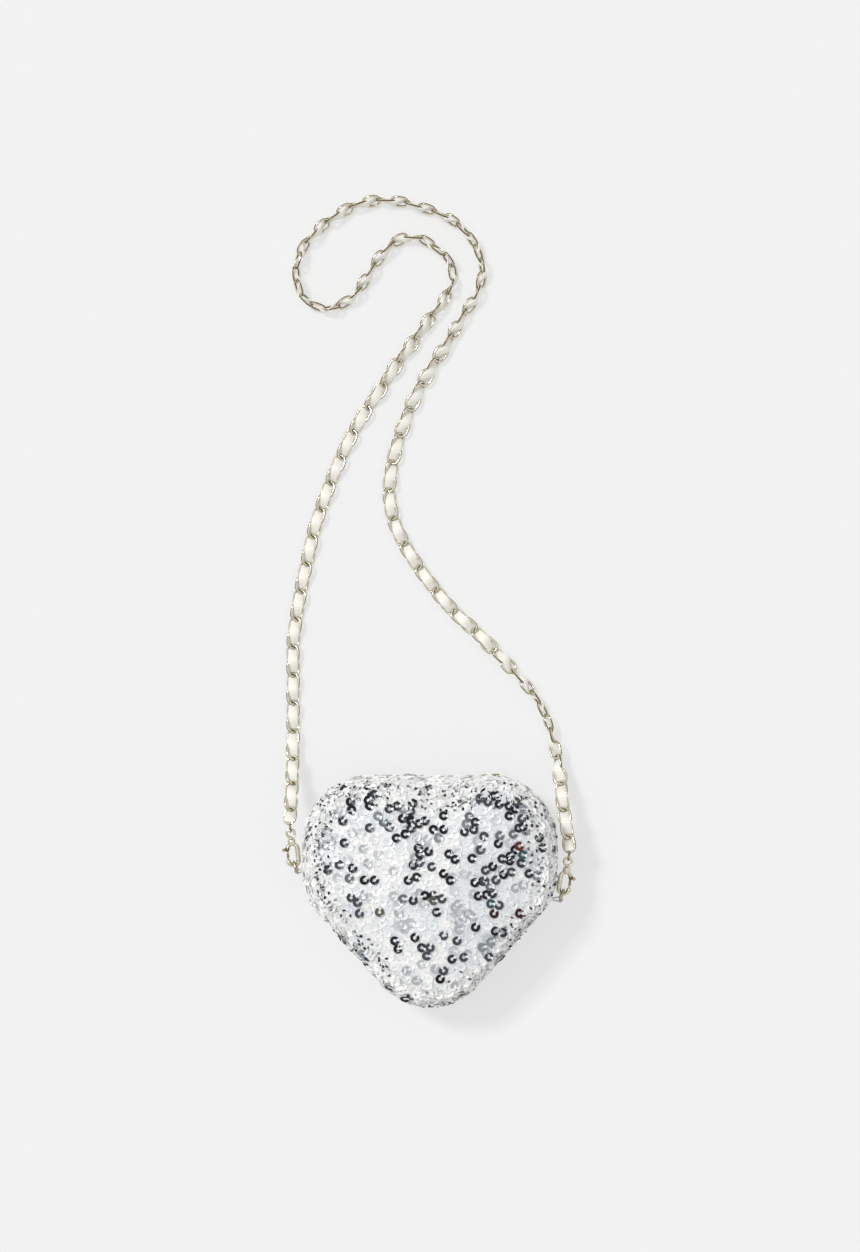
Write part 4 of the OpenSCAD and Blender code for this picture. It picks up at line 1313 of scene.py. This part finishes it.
# %% [markdown]
# Nearly all sequins look white, because they mirror white paper and sky, with a cool grey in the
# middle of the front and a warmer white near its edge. Here and there a group faces something dark,
# and those are placed at listed points. A few show a dull red, teal or olive.

# %% Tones
# Warm whites are close to the film's own colour; cool, grey, smoke and dark tints are painted reflection.
TONES = {"warm": [(0.95, 0.945, 0.925), (0.93, 0.925, 0.905), (0.90, 0.90, 0.885)],
         "cool": [(0.82, 0.845, 0.86), (0.78, 0.81, 0.83), (0.74, 0.77, 0.80)],
         "grey": [(0.62, 0.65, 0.67), (0.52, 0.55, 0.57), (0.42, 0.45, 0.48)],
         "smoke": [(0.25, 0.28, 0.30), (0.15, 0.17, 0.19)],
         "dark": [(0.010, 0.012, 0.017), (0.016, 0.019, 0.026), (0.030, 0.036, 0.046),
                  (0.06, 0.07, 0.085)],
         "red": [(0.13, 0.025, 0.022)], "wine": [(0.045, 0.014, 0.014)],
         "teal": [(0.045, 0.095, 0.105)], "olive": [(0.12, 0.12, 0.09)]}


def tone(shares):
    """A random tone of one of the families, which are drawn by their shares."""
    family = draw.choices(list(shares), list(shares.values()))[0]
    return (*draw.choice(TONES[family]), 1)


print("tones", sum(len(family) for family in TONES.values()))

# %% [markdown]
# The toned sequins on the front are placed at listed points. Each row below is a group of dark or of
# faint ones: its middle in millimetres, and how many it has. A coloured one lies by itself.

# %% Groups of toned sequins
# Groups of sequins painted dark, as painted reflection of something dark.
GROUPS = [
    (-36, 59, 3), (-47, 53, 2), (-52, 44, 1), (-36, 53, 1), (-31, 47, 1), (-26, 42, 2), (-22, 52, 2),
    (-16, 51, 1), (-11, 52, 2), (-14, 45, 2), (-9, 43, 2), (-13, 38, 2), (-20, 34, 1), (-3, 44, 1),
    (2, 39, 1), (8, 39, 1), (8, 47, 1), (5, 34, 1), (25, 45, 2), (21, 40, 2), (26, 39, 1), (32, 35, 1),
    (41, 33, 2), (31, 59, 2), (36, 57, 2), (41, 54, 1), (49, 54, 2), (53, 51, 2), (47, 47, 1),
    (55, 43, 2), (51, 38, 2), (57, 38, 1), (65, 34, 1), (67, 28, 1), (49, 25, 2),
    (45, 21, 2), (54, 19, 1), (25, 22, 1), (30, 27, 1), (13, 23, 2), (-7, 28, 1), (-1, 26, 1), (-6, 22, 2),
    (-10, 18, 1), (1, 17, 1), (8, 13, 1), (12, 9, 1), (35, 16, 2), (46, 13, 2), (61, 12, 2), (29, 8, 2),
    (34, 7, 2), (39, 9, 1), (31, 0, 2), (37, 1, 1), (41, -6, 1),
    (-51, 31, 1), (-36, 40, 1), (-61, 15, 1), (-54, 18, 1), (-46, 16, 1), (-48, 10, 1), (-39, 9, 1),
    (-33, 9, 1), (-13, 9, 1), (-8, 11, 1), (-45, -3, 2), (-42, -11, 1), (-16, -2, 1),
    (-10, -3, 1), (-3, 0, 1), (2, 0, 1), (7, -2, 1), (4, -10, 1), (-21, -27, 1), (-19, -32, 1),
    (-9, -25, 1), (-5, -31, 1), (0, -31, 1), (-2, -36, 1), (8, -24, 1), (16, -27, 1), (27, -19, 1),
    (36, -28, 1), (31, -31, 1), (35, -37, 1), (42, -38, 1), (13, -38, 1), (20, -37, 1), (8, -45, 1),
    (6, -50, 1), (41, -22, 2), (-52, -27, 1), (-40, -35, 1), (-24, -55, 1), (-15, -62, 1)]
# Groups painted a faint grey, as painted reflection.
FAINT = [
    (-55, 49, 2), (-61, 31, 2), (-44, 37, 2), (-31, 24, 1), (-37, 19, 1), (-49, 21, 1), (-24, 42, 1),
    (-20, -2, 2), (-19, -8, 2), (-14, -17, 2), (-19, -18, 1), (-14, -45, 1), (-8, -51, 1), (-9, 20, 2),
    (-4, 32, 2), (-8, 35, 1), (16, 25, 1), (29, 27, 1), (28, 32, 1), (22, 12, 2), (63, 19, 2), (53, 5, 2),
    (16, -9, 2), (19, -12, 2), (13, -13, 1), (23, -11, 1), (17, -18, 2), (14, -33, 1), (43, 15, 1),
    (-4, -5, 1), (-36, -2, 1), (-40, 0, 1), (33, -34, 1), (34, -26, 1), (42, -24, 2), (27, 55, 1)]
COLOURED = [(53, 29, "red"), (38, -11, "wine"), (53, -11, "wine"), (55, 24, "teal"), (36, -5, "teal"),
            (-30, -10, "olive"), (2, -3, "olive")]
GROUP_SPREAD = {1: 0, 2: 2.4, 3: 2.8}
print("toned sequins", sum(many for x, y, many in GROUPS + FAINT) + len(COLOURED))

# %% [markdown]
# To lay a sequin at a chosen place, the height and slope of the cloth there have to be known. Both
# come from how far out the place is, as a share of the way to the seam in that direction. Past the
# seam the cloth falls away round the gusset's bulge.

# %% Places on the front
PAST_SEAM = 0.85
MEAN_REACH = 55 * MM
RING_SHARES = [k / 24 for k in range(1, 25)]


def panel_rows(shares, front, drop=0):
    """Closed rings of a panel, which sequins can be sown on."""
    rings = [panel_ring(share, front, drop) for share in shares]
    return [ring + ring[:1] for ring in rings]


seam_ring = outline(BULGE, 1)
seam_turns = np.array([math.atan2(p.y, p.x) for p in seam_ring])
seam_reach = np.array([p.length for p in seam_ring])
seam_order = np.argsort(seam_turns)


def seam_far(x, y):
    """How far out the seam is, on the line from the middle through a place."""
    return float(np.interp(math.atan2(y, x), seam_turns[seam_order], seam_reach[seam_order],
                           period=2 * math.pi))


def seam_share(x, y):
    """How far out a point of the front is, as a share of the way to its seam."""
    return min(math.hypot(x, y) / seam_far(x, y), 1)


def crown_at(x, y):
    """The point of the outer face above x and y, on the front or past its seam, and its direction."""
    far = math.hypot(x, y) or 1
    past = min(max(far - seam_far(x, y), 0), PAST_SEAM * BULGE)
    if past:
        rise = math.sqrt(1 - (past / BULGE) ** 2)
        level = MID_Z + GUSSET_HALF * rise
        slope = past * GUSSET_HALF / (BULGE ** 2 * rise)
    else:
        share = seam_share(x, y)
        level = CROWN_BASE + CROWN_H * (1 - share ** CROWN_POWER)
        slope = CROWN_H * CROWN_POWER * share ** (CROWN_POWER - 1) / MEAN_REACH
    return Vector((x, y, level)), Vector((x / far * slope, y / far * slope, 1)).normalized()


print("seam", round(seam_reach.max() / MM, 1), "mm from the middle at most")

# %% [markdown]
# The front has a close layer of pale sequins, a loose one of cooler ones over it, and the toned ones
# lie on top, where they are seen whole. The pale layer is cool in soft patches, mostly up and to the
# right, and warm near the edge. The cool greys and the toned darks are painted reflection.

# %% Sequins on the front
PALE_SPACING, COOL_SPACING = 3.3 * MM, 7 * MM
PALE_TRIES, COOL_TRIES = 26000, 3000
FRONT_LEAN = 0.045
RIM_SHARE = 0.84
PATCH_BASE, PATCH_PER_METRE, PATCH_RIGHT, PATCH_UP = 0.5, 28, 2, 4
COOL_LEAST, COOL_MOST = 0.1, 0.95
# The cool layer's greys and the groups' darks are painted reflection.
COOL_SHARES, DARK_SHARES = {"cool": 0.8, "grey": 0.2}, {"dark": 0.8, "smoke": 0.2}


def pale_shares(point):
    """Warm whites near the rim, and soft patches of cooler ones inside it, painted reflection."""
    rim = max(0, (seam_share(point.x, point.y) - RIM_SHARE) / (1 - RIM_SHARE))
    patch = (PATCH_BASE + noise.noise(point * PATCH_PER_METRE)
             + point.x * PATCH_RIGHT + point.y * PATCH_UP)
    cool = min(max(patch, COOL_LEAST), COOL_MOST) * (1 - rim)
    return {"warm": 1 - cool, "cool": cool}


def scatter(rows, spacing, tries, lift, lean, shares, seed):
    """Places and tints of sequins sown on a surface. Their shares may depend on the place."""
    places, tints = [], []
    for point, out in sow(rows, spacing, tries, seed):
        places.append(sewn(point, outwards(out, point), lift, lean))
        tints.append(tone(shares(point) if callable(shares) else shares))
    return places, tints


front_rows = panel_rows(RING_SHARES, True)
pale = scatter(front_rows, PALE_SPACING, PALE_TRIES, "pale", FRONT_LEAN, pale_shares, seed=3)
cool = scatter(front_rows, COOL_SPACING, COOL_TRIES, "cool", FRONT_LEAN, COOL_SHARES, seed=4)
places, tints = [a + b for a, b in zip(pale, cool)]
hand_over(stamp("front_sequins", small_sequin, places, [pale_film, thread], tints),
          "purse_front")

toned_places, toned_tints = [], []


def lay_toned(x, y, lift, shares):
    """One sequin on top of the pale ones, at a place in millimetres."""
    toned_places.append(sewn(*crown_at(x * MM, y * MM), lift, FRONT_LEAN))
    toned_tints.append(tone(shares))


def lay_groups(groups, lift, shares):
    for x, y, many in groups:
        start = draw.uniform(0, 2 * math.pi)
        for around in [start + 2 * math.pi * k / many for k in range(many)]:
            apart = GROUP_SPREAD[many]
            lay_toned(x + apart * math.cos(around), y + apart * math.sin(around), lift, shares)


lay_groups(FAINT, "faint", {"grey": 1})
lay_groups(GROUPS, "dark", DARK_SHARES)
for x, y, family in COLOURED:
    lay_toned(x, y, "coloured", {family: 1})
hand_over(stamp("front_toned_sequins", fine_sequin, toned_places, [painted_reflection_film, thread], toned_tints),
          "purse_front")

# %% [markdown]
# Two helpers dress the rest of the cloth. One covers a surface with pale sequins. The other sets
# slivers between them, as where the cloth is pinched. Many of those are painted dark, in clusters,
# and most of all at the two shoulders: painted shade, standing for the shadowed gaps between
# upright sequins.

# %% Covers and slivers
# The cool, grey and dark tints in these shares are painted reflection.
EDGE_SHARES = {"warm": 0.82, "cool": 0.13, "grey": 0.03, "dark": 0.02}
BACK_SHARES = {"warm": 0.38, "cool": 0.48, "grey": 0.07, "dark": 0.07}
SEAM_SHARES = {"warm": 0.85, "cool": 0.15}
COVER_TRIES, SLIVER_TRIES = 24000, 12000
# How close sequins and slivers may be on each surface, in millimetres.
APART = {"gusset": 3.2, "strip": 3.0, "seam": 2.6, "back": 3.3}
SLIVERS_APART = {"gusset": 2.8, "rim": 3.6, "seam": 2.0, "strip": 2.2}
EDGE_LEAN, BACK_LEAN, SEAM_LEAN = 0.18, 0.03, 0.5
CLUSTER_PER_METRE = 45
# Where the painted shade of the dark slivers gathers, and how it grows towards the top.
SHOULDERS = [Vector((44, 62)) * MM, Vector((-30, 59)) * MM]
SHOULDER_SPREAD, SHOULDER_DARK = 11 * MM, 0.7
DARK_BASE, DARK_CLUSTERED, DARK_UP = 0.26, 1.5, 3
DARK_LEAST, DARK_MOST, FULLY_DARK = 0.08, 0.95, 0.75

draw.seed(12)


def cover(name, rows, apart, shares, seed, body=None, lean=EDGE_LEAN):
    """Sows pale sequins over a surface whose outside faces away from the purse's middle."""
    places, tints = scatter(rows, APART[apart] * MM, COVER_TRIES, "edge", lean, shares, seed)
    return hand_over(stamp(name, small_sequin, places, [pale_film, thread], tints), body)


def speckle(name, surfaces, seed, body=None):
    """Slivers that stand up between the sequins. Dark tints, painted shade, come in clusters."""
    places, tints = [], []
    for rows, apart in surfaces:
        for point, out in sow(rows, SLIVERS_APART[apart] * MM, SLIVER_TRIES, seed):
            near = min((point.xy - spot).length for spot in SHOULDERS) / SHOULDER_SPREAD
            # Painted shade: the share of dark tints, clustered, higher towards the top and at the
            # shoulders.
            dark = DARK_BASE + noise.noise(point * CLUSTER_PER_METRE) * DARK_CLUSTERED + point.y * DARK_UP
            dark += math.exp(-near ** 2) * SHOULDER_DARK
            dark = min(max(dark, DARK_LEAST), DARK_MOST)
            places.append(pinched(point, outwards(out, point)))
            tints.append(tone({"dark": dark * FULLY_DARK, "smoke": dark * (1 - FULLY_DARK),
                               "warm": 1 - dark}))
    return hand_over(stamp(name, sequin_sliver, places, [painted_reflection_film], tints), body)


print("shoulders at", [[round(v, 3) for v in spot] for spot in SHOULDERS])

# %% [markdown]
# Round the gusset and on the top strips the sequins are seen on edge, as short dashes, nearly all of
# them white, and slivers stand up by the seams. What lies on the gusset has its place baked into its
# mesh, as the cloth under it has. The back has one flat layer.

# %% Sequins on the gusset, strips and back
RIM_SHARES, SEAM_RING_SHARES = (0.87, 0.90, 0.93, 0.95), (0.95, 0.965, 0.98, 1)
FRONT_LEVELS, BACK_LEVELS, STRIP_LEVELS = slice(12, None), slice(0, 9), slice(5, None)

span_mouth(cover("gusset_sequins", gusset_rows(NET_IN), "gusset", EDGE_SHARES, seed=5))
gusset_sides = [(row[FRONT_LEVELS], row[BACK_LEVELS]) for row in gusset_rows(NET_IN)]
span_mouth(speckle("gusset_slivers", [(rows, "gusset") for rows in zip(*gusset_sides)], seed=15))

rim_rows, seam_rows = panel_rows(RIM_SHARES, True), panel_rows(SEAM_RING_SHARES, True)
slivers = {"front": [(rim_rows, "rim"), (seam_rows, "seam")], "back": []}
for half, side, seed, sliver_seed in (("front", 1, 6, 16), ("back", -1, 7, 17)):
    strip_rows = [[strip_point(x, u, STRIP_IN, side) for u in strip_levels] for x in strip_xs]
    cover(f"strip_sequins_{half}", strip_rows, "strip", EDGE_SHARES, seed, f"purse_{half}")
    slivers[half].append(([row[STRIP_LEVELS] for row in strip_rows], "strip"))
    speckle(f"slivers_{half}", slivers[half], sliver_seed, f"purse_{half}")
cover("seam_sequins", seam_rows, "seam", SEAM_SHARES, seed=9, body="purse_front", lean=SEAM_LEAN)
cover("back_sequins", panel_rows(RING_SHARES, False, BACK_NET_IN), "back", BACK_SHARES, seed=8,
      body="purse_back", lean=BACK_LEAN)

# %% [markdown]
# Last, the box of everything in the scene now is printed for the record.

# %% Finish
low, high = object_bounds()
print("visual box", [round(v, 4) for v in low], [round(v, 4) for v in high])
